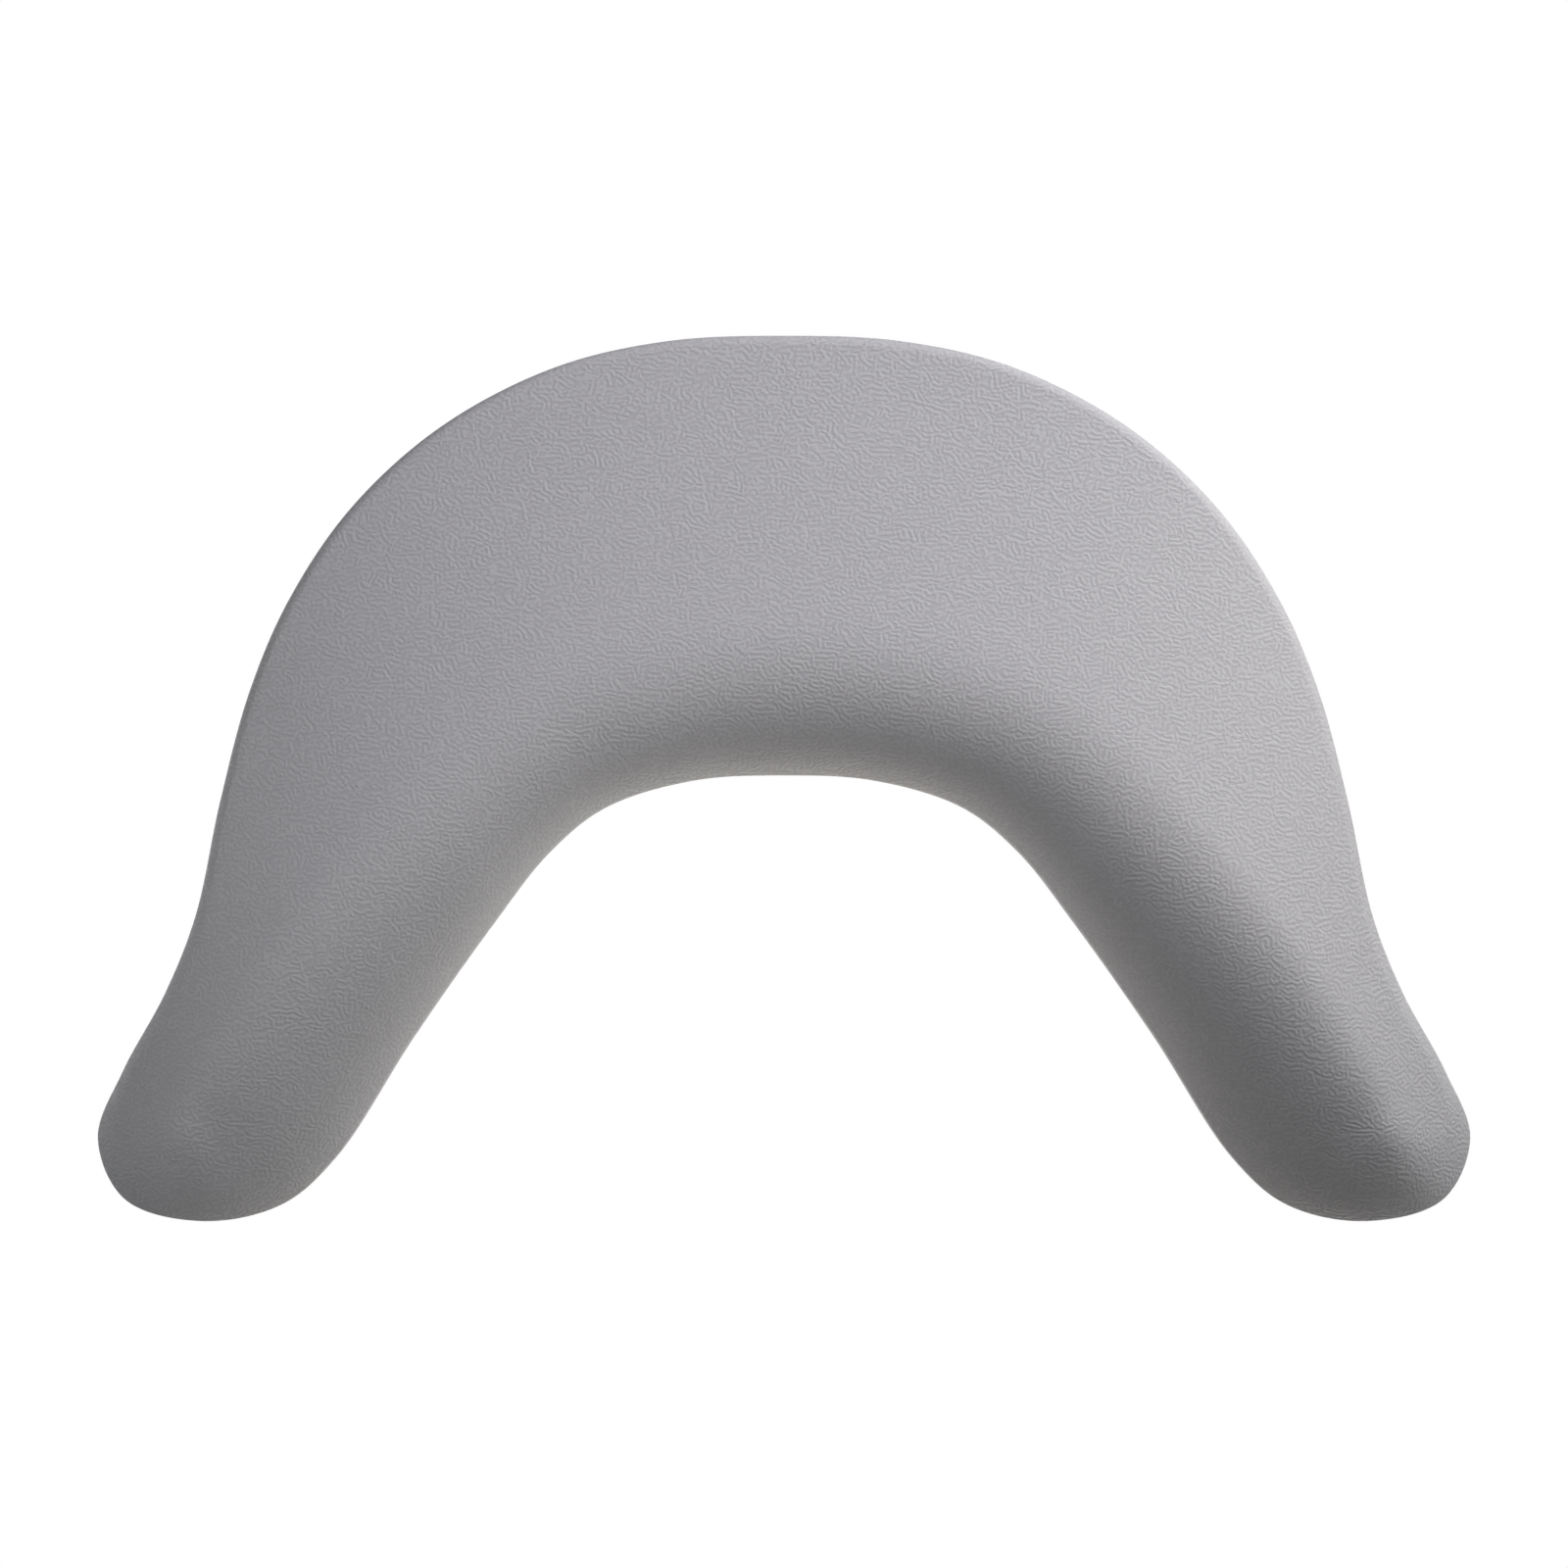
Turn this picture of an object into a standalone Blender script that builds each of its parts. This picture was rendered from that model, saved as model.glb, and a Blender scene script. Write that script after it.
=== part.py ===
"""Chair headrest attachment: a crescent pad of self-skinned foam on a friction tilt hinge and a height track.

Run it with: blender --background --python part.py
Metres, +Z up, +Y towards the chair. The pad faces -Y. The origin is the middle of the track's back face,
the flat face that is bolted to the chair, with the carriage at the middle of its travel.
"""

import math

import bmesh
import bpy
from mathutils import Matrix, Vector

MM = 0.001

# ---------------------------------------------------------------- driving dimensions

PAD_WIDTH = 330 * MM
PAD_HEIGHT = 211.5 * MM

# Front view of the right half of the pad, in millimetres (x, z) from the tilt axle: the edge that frames
# the head, the rounded tip, and the edge that goes round the neck. A smooth curve runs through the points,
# which are stretched to the width and the height above.
OUTER_EDGE = [
    (0, 52.3), (28, 51), (54.5, 44.8), (81.5, 30.8), (103, 11.5), (118, -10.5),
    (127.5, -32.5), (134.5, -58.5), (140.5, -86), (148, -104.5), (158.7, -123.5),
]
TIP_EDGE = [(165, -139.5), (158.5, -154), (140, -159.2), (121, -155.5)]
INNER_EDGE = [(108, -144.3), (89, -115), (70, -88), (56.5, -70.8), (43, -60), (22, -53.5), (0, -52.2)]

# Depth of the pad's face in front of its back plane. To the depth at the middle of the top edge come terms in
# the drop below that edge, as a share of the pad's height, and in the squared distance from the middle plane,
# as a share of its half width. The face is deepest along the ridge round the neck.
FACE_TOP_DEPTH = 44 * MM
FACE_TOP_HEIGHT = 50 * MM
FACE_DROP = [20.3 * MM, 46.5 * MM, -9.5 * MM]  # for the drop, its square and its cube
FACE_ASIDE = [-1.1 * MM, -22.2 * MM]  # for the squared distance and its square
FACE_CORNER = [-30.5 * MM, -35.3 * MM]  # for the squared distance times the drop, and times its square

# Edges of the pad. The face goes over a tight round into the outer wall, and over a big roll into the neck.
# Lists run from the middle of the arch to the tip, or round the tip from the outer edge to the neck.
EDGE_ROUND = 2.5 * MM
ROLL_WIDTHS = [38.1, 38.5, 40.7, 39.2]  # millimetres from the neck edge to the ridge
ROLL_SQUARENESS = [2.26, 2.32, 2.0, 1.61, 1.29]  # 2 is a quarter ellipse
ROLL_CUTS = [0.09, 0.1, 0.1, 0.1, 0.09]  # share of the curve that the neck edge cuts off
ROLL_END_DEPTHS = [9.3, 6.0, 9.5]  # millimetres, where a roll without a cut would end
TIP_WIDTH_SHARES = [0, 0.23, 0.58, 0.88, 1, 1]  # of the way from the tip's edge to the ridge
TIP_DEPTH_SHARES = [0, 0.17, 0.54, 0.8, 1, 1]
BACK_ROLL = 7 * MM

# Moulded-in carrier
CARRIER_INSET = 14 * MM
CARRIER_DEPTH = 12 * MM
CARRIER_WALL = 3 * MM
CARRIER_FLOOR = 2.5 * MM
RIB = 2 * MM
RIB_PLACES = (0.30, 0.47, 0.64, 0.81)
CORE_MARGIN = 2.2 * MM  # round the feet of the hinge brackets
CORE_POCKET_WIDTH = 6 * MM
CORE_POCKET_HEIGHT = 13 * MM

# Back cover
COVER_INSET = 9 * MM
COVER_RISE = 9 * MM
COVER_EDGE_ROLL = 6 * MM
COVER_WALL = 2.2 * MM
WINDOW_MARGIN = 3 * MM
WINDOW_CORNER = 7 * MM
POST_RADIUS = 5.5 * MM
BOSS_RADIUS = 4.5 * MM
COVER_SCREW_PLACES = (0.40, 0.70, 0.97)

# Chair track, an aluminium extrusion
TRACK_WIDTH = 76 * MM
TRACK_WEB = 3 * MM
TRACK_FLANGE = 3.5 * MM
TRACK_LIP = 2.5 * MM
CHANNEL_WIDTH = 44 * MM
CHANNEL_DEPTH = 8.6 * MM
CHANNEL_WALL = 3 * MM
LIP_REACH = 6 * MM
TRACK_CORNER = 0.6 * MM
CHAIR_HOLE_RADIUS = 3.3 * MM
CHAIR_HOLE_EDGE = 12 * MM  # from the holes to the track's ends
STOP_LENGTH = 7.6 * MM

# Carriage
HEIGHT_TRAVEL = 18 * MM  # up and down from the middle
SLIDER_HEIGHT = 44 * MM
SLIDER_THICKNESS = 5.6 * MM
GLIDE_WALL = 1.2 * MM
GLIDE_SLOT = 5 * MM
CHEEK_THICKNESS = 3 * MM
CHEEK_MARGIN = 0.8 * MM  # beyond the ears that stop on it
NECK_SHORTER = 2 * MM  # than the slider, at each end
BARREL_LENGTH = 30 * MM
BARREL_RADIUS = 10.5 * MM
STEM_STEP = 1 * MM  # from the barrel in to the stem
SHOE_RADIUS = 4.4 * MM
SHOE_LENGTH = 6 * MM
SHOE_BORE_DEPTH = 17 * MM
SPRING_WIRE = 0.5 * MM
SPRING_TURNS = 5

# Tilt hinge
TILT_BACK = math.radians(25)  # top of the pad towards the chair
TILT_FORWARD = math.radians(14)  # the pad's tips then stay in front of the chair's mounting face
AXLE_RADIUS = 4 * MM
EAR_THICKNESS = 3 * MM
EAR_REACH = 10 * MM  # from the axle to the ear's square end, whose corners are the tilt stops
EAR_ROOM = 14.4 * MM  # from the axle to the cheek that those corners meet
PAD_STANDOFF = 15 * MM  # from the axle to the back of the pad
FOOT_WIDTH = 21 * MM
FOOT_HEIGHT = 50 * MM
FOOT_CORNER = 4 * MM
BEND_RADIUS = 2.5 * MM
DISC_THICKNESS = 1.5 * MM
DISC_STEP = 1 * MM  # from the barrel in to the discs
BUSH_WALL = 1.9 * MM
BUSH_LENGTH = 13 * MM
WASHER_THICKNESS = 1.6 * MM
WASHER_RADIUS = 8 * MM
DISC_SPRING_THICKNESS = 0.9 * MM
DISC_SPRING_RISE = 0.6 * MM
NUT_FLATS = 13 * MM
NUT_HEIGHT = 8 * MM
HEAD_HEIGHT = 5.3 * MM
THREAD_STAND_OUT = 1.6 * MM
CAP_WALL = 1.3 * MM

# Fasteners
BRACKET_SCREW_RADIUS = 3 * MM
BRACKET_SCREW_HEAD = 5.25 * MM
BRACKET_SCREW_HEAD_HEIGHT = 3.3 * MM
BRACKET_SCREW_EDGE = 7 * MM  # from a foot's screws to its ends
INSERT_RADIUS = 4.5 * MM
INSERT_LENGTH = 8 * MM
COVER_SCREW_RADIUS = 1.6 * MM
COVER_SCREW_HEAD = 3.5 * MM
COVER_SCREW_HEAD_HEIGHT = 2.2 * MM
COVER_SCREW_BITE = 7 * MM  # how deep it goes into the carrier's boss
COVER_LAND = 2.2 * MM
STOP_SCREW_RADIUS = 2 * MM
STOP_SCREW_HEAD = 3.5 * MM
STOP_SCREW_HEAD_HEIGHT = 2.2 * MM
HEX_SOCKET_SHARE = 0.4  # of a screw head's radius, measured to the socket's corners

# Clearances
SEAT = 0.1 * MM  # between flat faces that rest on each other
FIT = 0.1 * MM  # between a round piece and its hole, on the radius
SLIDE = 0.2 * MM
FOAM_GAP = 0.3 * MM
END_GAP = 0.4 * MM
LIP_GAP = 0.5 * MM
STOP_GAP = 0.3 * MM

# Fineness of the curved surfaces
EDGE_STATIONS = 17  # along each long edge of half the pad
TIP_STATIONS = 12
ROLL_RINGS = 7
FACE_RINGS = 3
ROUND_SIDES = 24
SMALL_SIDES = 12
FASTENER_SIDES = 16

# ---------------------------------------------------------------- places that follow from them

TRACK_FRONT_Y = -(TRACK_WEB + CHANNEL_DEPTH + TRACK_LIP)
CHANNEL_MIDDLE_Y = -(TRACK_WEB + CHANNEL_DEPTH / 2)
CHEEK_BACK_Y = TRACK_FRONT_Y - LIP_GAP
CHEEK_FRONT_Y = CHEEK_BACK_Y - CHEEK_THICKNESS
AXLE_Y = CHEEK_FRONT_Y - EAR_ROOM
PAD_BACK_Y = AXLE_Y - PAD_STANDOFF
TRACK_HEIGHT = SLIDER_HEIGHT + 2 * (HEIGHT_TRAVEL + END_GAP + STOP_LENGTH)
STOP_Z = TRACK_HEIGHT / 2 - STOP_LENGTH / 2
EAR_UP = (EAR_ROOM - STOP_GAP - EAR_REACH * math.cos(TILT_BACK)) / math.sin(TILT_BACK)
EAR_DOWN = (EAR_ROOM - STOP_GAP - EAR_REACH * math.cos(TILT_FORWARD)) / math.sin(TILT_FORWARD)
EAR_INNER_X = BARREL_LENGTH / 2 + DISC_THICKNESS + 2 * SEAT
EAR_OUTER_X = EAR_INNER_X + EAR_THICKNESS
BRACKET_SCREW_X = EAR_OUTER_X + (FOOT_WIDTH - EAR_THICKNESS) / 2
BRACKET_SCREW_Z = FOOT_HEIGHT / 2 - BRACKET_SCREW_EDGE

# ---------------------------------------------------------------- scene, collections and materials

for old in list(bpy.data.objects):
    bpy.data.objects.remove(old, do_unlink=True)

headrest = bpy.data.collections.new("chair_headrest")
cutters = bpy.data.collections.new("cutters")
bpy.context.scene.collection.children.link(headrest)
bpy.context.scene.collection.children.link(cutters)


def finish(name, colour, roughness, metallic=0.0):
    """A plain material for one kind of stock."""
    made = bpy.data.materials.new(name)
    made.use_nodes = True
    shader = made.node_tree.nodes["Principled BSDF"]
    shader.inputs["Base Color"].default_value = (*colour, 1)
    shader.inputs["Roughness"].default_value = roughness
    shader.inputs["Metallic"].default_value = metallic
    return made


FOAM = finish("grey_self_skinned_foam", (0.40, 0.395, 0.41), 0.55)
BLACK_NYLON = finish("black_glass_filled_nylon", (0.03, 0.03, 0.032), 0.5)
COVER_ABS = finish("dark_grey_abs", (0.06, 0.06, 0.065), 0.45)
ANODISED = finish("satin_anodised_aluminium", (0.62, 0.63, 0.65), 0.35, 1.0)
CAST_ZINC = finish("black_coated_die_casting", (0.045, 0.045, 0.048), 0.5, 0.0)
PRESSED_STEEL = finish("black_powder_coated_steel", (0.04, 0.04, 0.042), 0.55, 0.0)
ZINC_STEEL = finish("zinc_plated_steel", (0.65, 0.66, 0.68), 0.3, 1.0)
SPRING_STEEL = finish("spring_steel", (0.35, 0.35, 0.37), 0.35, 1.0)
BRASS = finish("brass", (0.72, 0.55, 0.25), 0.35, 1.0)
ACETAL = finish("white_acetal", (0.80, 0.80, 0.78), 0.4)
FRICTION = finish("brown_friction_composite", (0.20, 0.13, 0.08), 0.7)


def pivot(name, place):
    """An empty that a moving group hangs on, at its joint."""
    made = bpy.data.objects.new(name, None)
    headrest.objects.link(made)
    made.empty_display_size = 20 * MM
    made.location = place
    return made


TRACK_DATUM = pivot("track_datum", (0, 0, 0))
HEIGHT_SLIDE = pivot("height_slide", (0, CHANNEL_MIDDLE_Y, 0))
TILT_AXLE = pivot("tilt_axle", (0, AXLE_Y, 0))

FACING_LEFT = (0, math.radians(-90), 0)  # turns local +Z to -X
FACING_RIGHT = (0, math.radians(90), 0)
FACING_BACK = (math.radians(-90), 0, 0)  # turns local +Z to +Y
FACING_FRONT = (math.radians(90), 0, 0)
UPRIGHT = (0, 0, 0)


def part(name, mesh, material, group, place=(0, 0, 0), turn=UPRIGHT):
    """A piece of the headrest: its mesh at a place in the frame, hung on its group."""
    made = bpy.data.objects.new(name, mesh)
    headrest.objects.link(made)
    mesh.materials.clear()
    mesh.materials.append(material)
    made.parent = group
    made.location = Vector(place) - group.location
    made.rotation_euler = turn
    return made


def cutter(name, mesh, place=(0, 0, 0), turn=UPRIGHT):
    """A tool shape, which is hidden in renders."""
    made = bpy.data.objects.new(name, mesh)
    cutters.objects.link(made)
    made.hide_render = True
    made.display_type = "WIRE"
    made.location = place
    made.rotation_euler = turn
    return made


def combine(target, operation, tools):
    """Applies each tool to the target and hangs it on the target's group, so that it moves along."""
    for tool in tools:
        boolean = target.modifiers.new(tool.name, "BOOLEAN")
        boolean.operation = operation
        boolean.object = tool
        tool.parent = target.parent
        tool.location = tool.location - target.parent.location


def cut(target, *tools):
    combine(target, "DIFFERENCE", tools)


def join(target, *tools):
    combine(target, "UNION", tools)


def trim(target, *tools):
    combine(target, "INTERSECT", tools)


def soften(target, width, segments=2):
    """Rounds the sharp edges of a piece."""
    bevel = target.modifiers.new("soft_edges", "BEVEL")
    bevel.width = width
    bevel.segments = segments
    bevel.limit_method = "ANGLE"
    bevel.angle_limit = math.radians(40)


# ---------------------------------------------------------------- shapes


def mesh_of(bm, name):
    mesh = bpy.data.meshes.new(name)
    bm.to_mesh(mesh)
    bm.free()
    return mesh


def box(name, size):
    """A box centred on its own origin."""
    bm = bmesh.new()
    bmesh.ops.create_cube(bm, size=1)
    bmesh.ops.scale(bm, vec=size, verts=bm.verts)
    return mesh_of(bm, name)


def rod(name, radius, length, sides=ROUND_SIDES):
    """A cylinder along local Z, centred on its own origin."""
    bm = bmesh.new()
    bmesh.ops.create_cone(bm, cap_ends=True, segments=sides, radius1=radius, radius2=radius, depth=length)
    return smooth(mesh_of(bm, name))


def hexagon(name, flats, length):
    return rod(name, flats / math.sqrt(3), length, sides=6)


def smooth(mesh):
    mesh.shade_smooth()
    mesh.set_sharp_from_angle(angle=math.radians(35))
    return mesh


def flat(name, outline, thickness, holes=()):
    """A flat piece cut to an outline in local X and Y, its thickness centred on local Z = 0."""
    curve = bpy.data.curves.new(name, "CURVE")
    curve.dimensions = "2D"
    curve.fill_mode = "BOTH"
    curve.extrude = thickness / 2
    for loop in (outline, *holes):
        spline = curve.splines.new("POLY")
        spline.points.add(len(loop) - 1)
        for point, (x, y) in zip(spline.points, loop):
            point.co = (x, y, 0, 1)
        spline.use_cyclic_u = True
    mesh = solid_from_curve(name, curve)
    mesh.shade_flat()
    return mesh


def solid_from_curve(name, curve):
    """The curve's surface as a mesh whose caps are welded to its sides."""
    drawn = bpy.data.objects.new(name, curve)
    cutters.objects.link(drawn)
    bpy.context.view_layer.update()
    graph = bpy.context.evaluated_depsgraph_get()
    mesh = bpy.data.meshes.new_from_object(drawn.evaluated_get(graph))
    bpy.data.objects.remove(drawn)
    bpy.data.curves.remove(curve)
    bm = bmesh.new()
    bm.from_mesh(mesh)
    bmesh.ops.remove_doubles(bm, verts=bm.verts, dist=1e-6)
    bmesh.ops.recalc_face_normals(bm, faces=bm.faces)
    bm.to_mesh(mesh)
    bm.free()
    return mesh


def rounded(corners, radii, steps=3):
    """A polygon's corners (x, y), each turned into an arc of its radius, or left sharp where that is 0."""
    if not isinstance(radii, (list, tuple)):
        radii = [radii] * len(corners)
    points = []
    for i, (corner, radius) in enumerate(zip(corners, radii)):
        if radius == 0:
            points.append(corner)
            continue
        here = Vector(corner)
        to_last = (Vector(corners[i - 1]) - here).normalized()
        to_next = (Vector(corners[(i + 1) % len(corners)]) - here).normalized()
        half = to_last.angle(to_next) / 2
        start = here + to_last * radius / math.tan(half)
        end = here + to_next * radius / math.tan(half)
        centre = here + (to_last + to_next).normalized() * radius / math.sin(half)
        for step in range(steps + 1):
            blend = start.lerp(end, step / steps)
            points.append(tuple(centre + (blend - centre).normalized() * radius))
    return points


def circle(x, y, radius, sides=ROUND_SIDES):
    return [
        (x + radius * math.cos(math.tau * i / sides), y + radius * math.sin(math.tau * i / sides))
        for i in range(sides)
    ]


def rectangle(width, height):
    return [(-width / 2, -height / 2), (width / 2, -height / 2), (width / 2, height / 2), (-width / 2, height / 2)]


def turned(target, sides=ROUND_SIDES):
    """Turns the profile mesh of an object round its local Z."""
    screw = target.modifiers.new("turned", "SCREW")
    screw.steps = sides
    screw.render_steps = sides
    screw.use_merge_vertices = True
    screw.merge_threshold = 0.00001
    screw.use_smooth_shade = False
    return target


def profile(name, points):
    """A closed profile (radius, height). It starts at the top and runs down its outer side."""
    bm = bmesh.new()
    verts = [bm.verts.new((radius, 0, height)) for radius, height in points]
    for first, second in zip(verts, verts[1:]):
        bm.edges.new((first, second))
    if points[0][0] > 0:
        bm.edges.new((verts[-1], verts[0]))
    return mesh_of(bm, name)


# ---------------------------------------------------------------- the crescent


def through(points, pieces):
    """A smooth curve through the points, with so many pieces between each two."""
    curve = []
    for before, start, end, after in zip(points, points[1:], points[2:], points[3:]):
        marks = [0]
        for a, b in ((before, start), (start, end), (end, after)):
            marks.append(marks[-1] + math.sqrt((b - a).length))
        for i in range(pieces):
            curve.append(knot_blend((before, start, end, after), marks, i / pieces))
    curve.append(points[-2].copy())
    return curve


def knot_blend(four, marks, share):
    """A point of the centripetal Catmull-Rom curve between the second and the third of four points."""
    at = marks[1] + (marks[2] - marks[1]) * share
    points = list(four)
    for level in (1, 2, 3):
        points = [
            points[i].lerp(points[i + 1], (at - marks[first]) / (marks[last] - marks[first]))
            for i, (first, last) in enumerate(spans(level))
        ]
    return points[0]


def spans(level):
    """The knots that each blend of a level runs between."""
    if level == 1:
        return [(0, 1), (1, 2), (2, 3)]
    if level == 2:
        return [(0, 2), (1, 3)]
    return [(1, 2)]


def evenly(curve, count):
    """The curve's points, spaced evenly along it in this many steps."""
    lengths = [0.0]
    for a, b in zip(curve, curve[1:]):
        lengths.append(lengths[-1] + (b - a).length)
    spaced = []
    place = 0
    for step in range(count + 1):
        wanted = lengths[-1] * step / count
        while place < len(curve) - 2 and lengths[place + 1] < wanted:
            place += 1
        share = (wanted - lengths[place]) / (lengths[place + 1] - lengths[place])
        spaced.append(curve[place].lerp(curve[place + 1], share))
    return spaced


def half_edges():
    """(outer, tip, inner): the right half of the outline as three runs of points."""
    fine = 12
    drawn = OUTER_EDGE + TIP_EDGE + INNER_EDGE
    heights = [z for _, z in drawn]
    across = PAD_WIDTH / (2 * max(x for x, _ in drawn))
    up = PAD_HEIGHT / (max(heights) - min(heights))
    control = [Vector((x * across, z * up)) for x, z in drawn]
    mirrored_start = Vector((-control[1].x, control[1].y))
    mirrored_end = Vector((-control[-2].x, control[-2].y))
    curve = through([mirrored_start, *control, mirrored_end], fine)
    tip_start = (len(OUTER_EDGE) - 1) * fine
    tip_end = (len(OUTER_EDGE) + len(TIP_EDGE)) * fine
    outer = evenly(curve[: tip_start + 1], EDGE_STATIONS)
    tip = evenly(curve[tip_start : tip_end + 1], TIP_STATIONS)
    inner = evenly(curve[tip_end:], EDGE_STATIONS)
    return outer, tip, list(reversed(inner))


def graded(values, share):
    """A smooth run through evenly spaced values, at a share of its length."""
    at = share * (len(values) - 1)
    low = min(int(at), len(values) - 2)
    rest = at - low
    start = values[low]
    end = values[low + 1]
    leave = (end - values[max(low - 1, 0)]) / 2
    arrive = (values[min(low + 2, len(values) - 1)] - start) / 2
    bend = rest * (1 - rest)
    return start + (end - start) * ease(rest) + bend * (leave * (1 - rest) - arrive * rest)


def ease(share):
    return share * share * (3 - 2 * share)


def ridge_point(outer, inner, along):
    return inner + (outer - inner).normalized() * graded(ROLL_WIDTHS, along) * MM


OUTER, TIP, INNER = half_edges()
MIDDLE = [(outer + inner) / 2 for outer, inner in zip(OUTER, INNER)]
RIDGE = [ridge_point(OUTER[i], INNER[i], i / EDGE_STATIONS) for i in range(EDGE_STATIONS + 1)]


def half_stations():
    """Round the right half: (edge, point of the ridge, of the middle line, place along, roll's shares)."""
    found = []
    for i, edge in enumerate(OUTER):
        found.append((edge, RIDGE[i], MIDDLE[i], i / EDGE_STATIONS, (0.0, 0.0)))
    for i, edge in enumerate(TIP[1:-1], start=1):
        turned_in = i / TIP_STATIONS
        shares = (graded(TIP_WIDTH_SHARES, turned_in), graded(TIP_DEPTH_SHARES, turned_in))
        found.append((edge, RIDGE[-1], MIDDLE[-1], 1.0, shares))
    for i in range(EDGE_STATIONS, -1, -1):
        found.append((INNER[i], RIDGE[i], MIDDLE[i], i / EDGE_STATIONS, (1.0, 1.0)))
    return found


def stations():
    """Round the whole outline. The two stations on the middle plane belong to both halves."""
    right = half_stations()
    left = [
        (mirrored(edge), mirrored(ridge), mirrored(middle), along, roll)
        for edge, ridge, middle, along, roll in reversed(right[1:-1])
    ]
    return right + left


def mirrored(point):
    return Vector((-point.x, point.y))


STATIONS = stations()


def inset_outline(inset):
    """The pad's outline moved in by this distance, each point towards the middle of the crescent."""
    moved = []
    for i, (edge, _, middle, _, _) in enumerate(STATIONS):
        along = STATIONS[(i + 1) % len(STATIONS)][0] - STATIONS[i - 1][0]
        inward = (middle - edge).normalized()
        square_on = abs(along.normalized().cross(inward))
        moved.append(tuple(edge + inward * inset / square_on))
    return moved


def ring(inset, depth):
    """A loop at one inset and depth, in front of the pad's back plane."""
    return [Vector((x, -depth, z)) for x, z in inset_outline(inset)]


def middle_ring(depth):
    """A loop that is folded together on the middle line of the crescent."""
    return [Vector((middle.x, -depth, middle.y)) for _, _, middle, _, _ in STATIONS]


def face_depth(point):
    """How far the face is in front of the back plane."""
    drop = (FACE_TOP_HEIGHT - point.y) / PAD_HEIGHT
    aside = (point.x / (PAD_WIDTH / 2)) ** 2
    downwards = drop * (FACE_DROP[0] + drop * (FACE_DROP[1] + drop * FACE_DROP[2]))
    sideways = aside * (FACE_ASIDE[0] + aside * FACE_ASIDE[1])
    corner = drop * aside * (FACE_CORNER[0] + drop * FACE_CORNER[1])
    return FACE_TOP_DEPTH + downwards + sideways + corner


def front_ring(angle, over):
    """A loop of the front: up the rounded edge or roll to this angle, then this share of the face to the ridge.
    The roll meets the neck edge before it is square to the back."""
    loop = []
    for edge, ridge, _, along, (width_share, depth_share) in STATIONS:
        reach = (ridge - edge).length
        width = EDGE_ROUND + (reach - EDGE_ROUND) * width_share
        end_depth = graded(ROLL_END_DEPTHS, along) * MM
        height = EDGE_ROUND + (face_depth(edge) - end_depth - EDGE_ROUND) * depth_share
        squareness = graded(ROLL_SQUARENESS, along)
        inward = 1 - abs(math.cos(angle)) ** (2 / squareness) if angle < math.pi / 2 else 1
        cut = graded(ROLL_CUTS, along) * depth_share
        outward = (1 - cut) * (1 - inward)
        fall = 1 - (1 - outward**squareness) ** (1 / squareness)
        point = edge + (ridge - edge).normalized() * (width * inward + (reach - width) * over)
        depth = face_depth(point) - height * fall
        loop.append(Vector((point.x, -depth, point.y)))
    return loop


def loft(name, rings):
    """Skins loops of the same number of points. The first and the last loop fold together on the ridge line."""
    bm = bmesh.new()
    loops = [[bm.verts.new(point) for point in points] for points in rings]
    for lower, upper in zip(loops, loops[1:]):
        for i in range(len(lower)):
            bm.faces.new((lower[i - 1], lower[i], upper[i], upper[i - 1]))
    bmesh.ops.remove_doubles(bm, verts=bm.verts, dist=1e-6)
    bmesh.ops.recalc_face_normals(bm, faces=bm.faces)
    return smooth(mesh_of(bm, name))


def on_back(x, z, rise=0.0):
    """A place on the pad's back plane, or so far behind it."""
    return (x, PAD_BACK_Y + rise, z)


def across_crescent(along):
    """The middle, and the width as a vector, at a place along the right half: 0 is the top, 1 the tip."""
    at = along * EDGE_STATIONS
    low = min(int(at), EDGE_STATIONS - 1)
    outer = OUTER[low].lerp(OUTER[low + 1], at - low)
    inner = INNER[low].lerp(INNER[low + 1], at - low)
    return (outer + inner) / 2, outer - inner


SIDES = (("right", 1), ("left", -1))
BRACKET_SCREWS = [
    (f"{side}_{level}", sign * BRACKET_SCREW_X, up * BRACKET_SCREW_Z)
    for side, sign in SIDES
    for level, up in (("upper", 1), ("lower", -1))
]
COVER_SCREWS = []
for side, sign in SIDES:
    for number, along in enumerate(COVER_SCREW_PLACES, start=1):
        middle, _ = across_crescent(along)
        COVER_SCREWS.append((f"{side}_{number}", sign * middle.x, middle.y))


# ---------------------------------------------------------------- pad, carrier and cover


def make_pad():
    """The foam moulding, with the pocket that the carrier fills."""
    rings = [middle_ring(0)]
    for degrees in (90, 60, 30, 0):
        turn = math.radians(degrees)
        rings.append(ring(BACK_ROLL * (1 - math.cos(turn)), BACK_ROLL * (1 - math.sin(turn))))
    for step in range(ROLL_RINGS + 1):
        rings.append(front_ring(math.pi / 2 * step / ROLL_RINGS, 0))
    for step in range(1, FACE_RINGS + 1):
        rings.append(front_ring(math.pi / 2, step / FACE_RINGS))
    pad = part("foam_pad", loft("foam_pad", rings), FOAM, TILT_AXLE, on_back(0, 0))
    overcut = 2 * MM
    depth = CARRIER_DEPTH + FOAM_GAP + overcut
    pocket = flat("carrier_pocket", inset_outline(CARRIER_INSET - FOAM_GAP), depth)
    cut(pad, cutter("carrier_pocket", pocket, on_back(0, 0, overcut - depth / 2), FACING_FRONT))


def rib_tool(name, along, sign):
    """A rib across the crescent, from edge to edge of the carrier."""
    middle, width = across_crescent(along)
    mesh = box(name, (width.length, CARRIER_DEPTH * 2, RIB))
    turn = (0, -math.atan2(width.y, sign * width.x), 0)
    return cutter(name, mesh, on_back(sign * middle.x, middle.y), turn)


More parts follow.
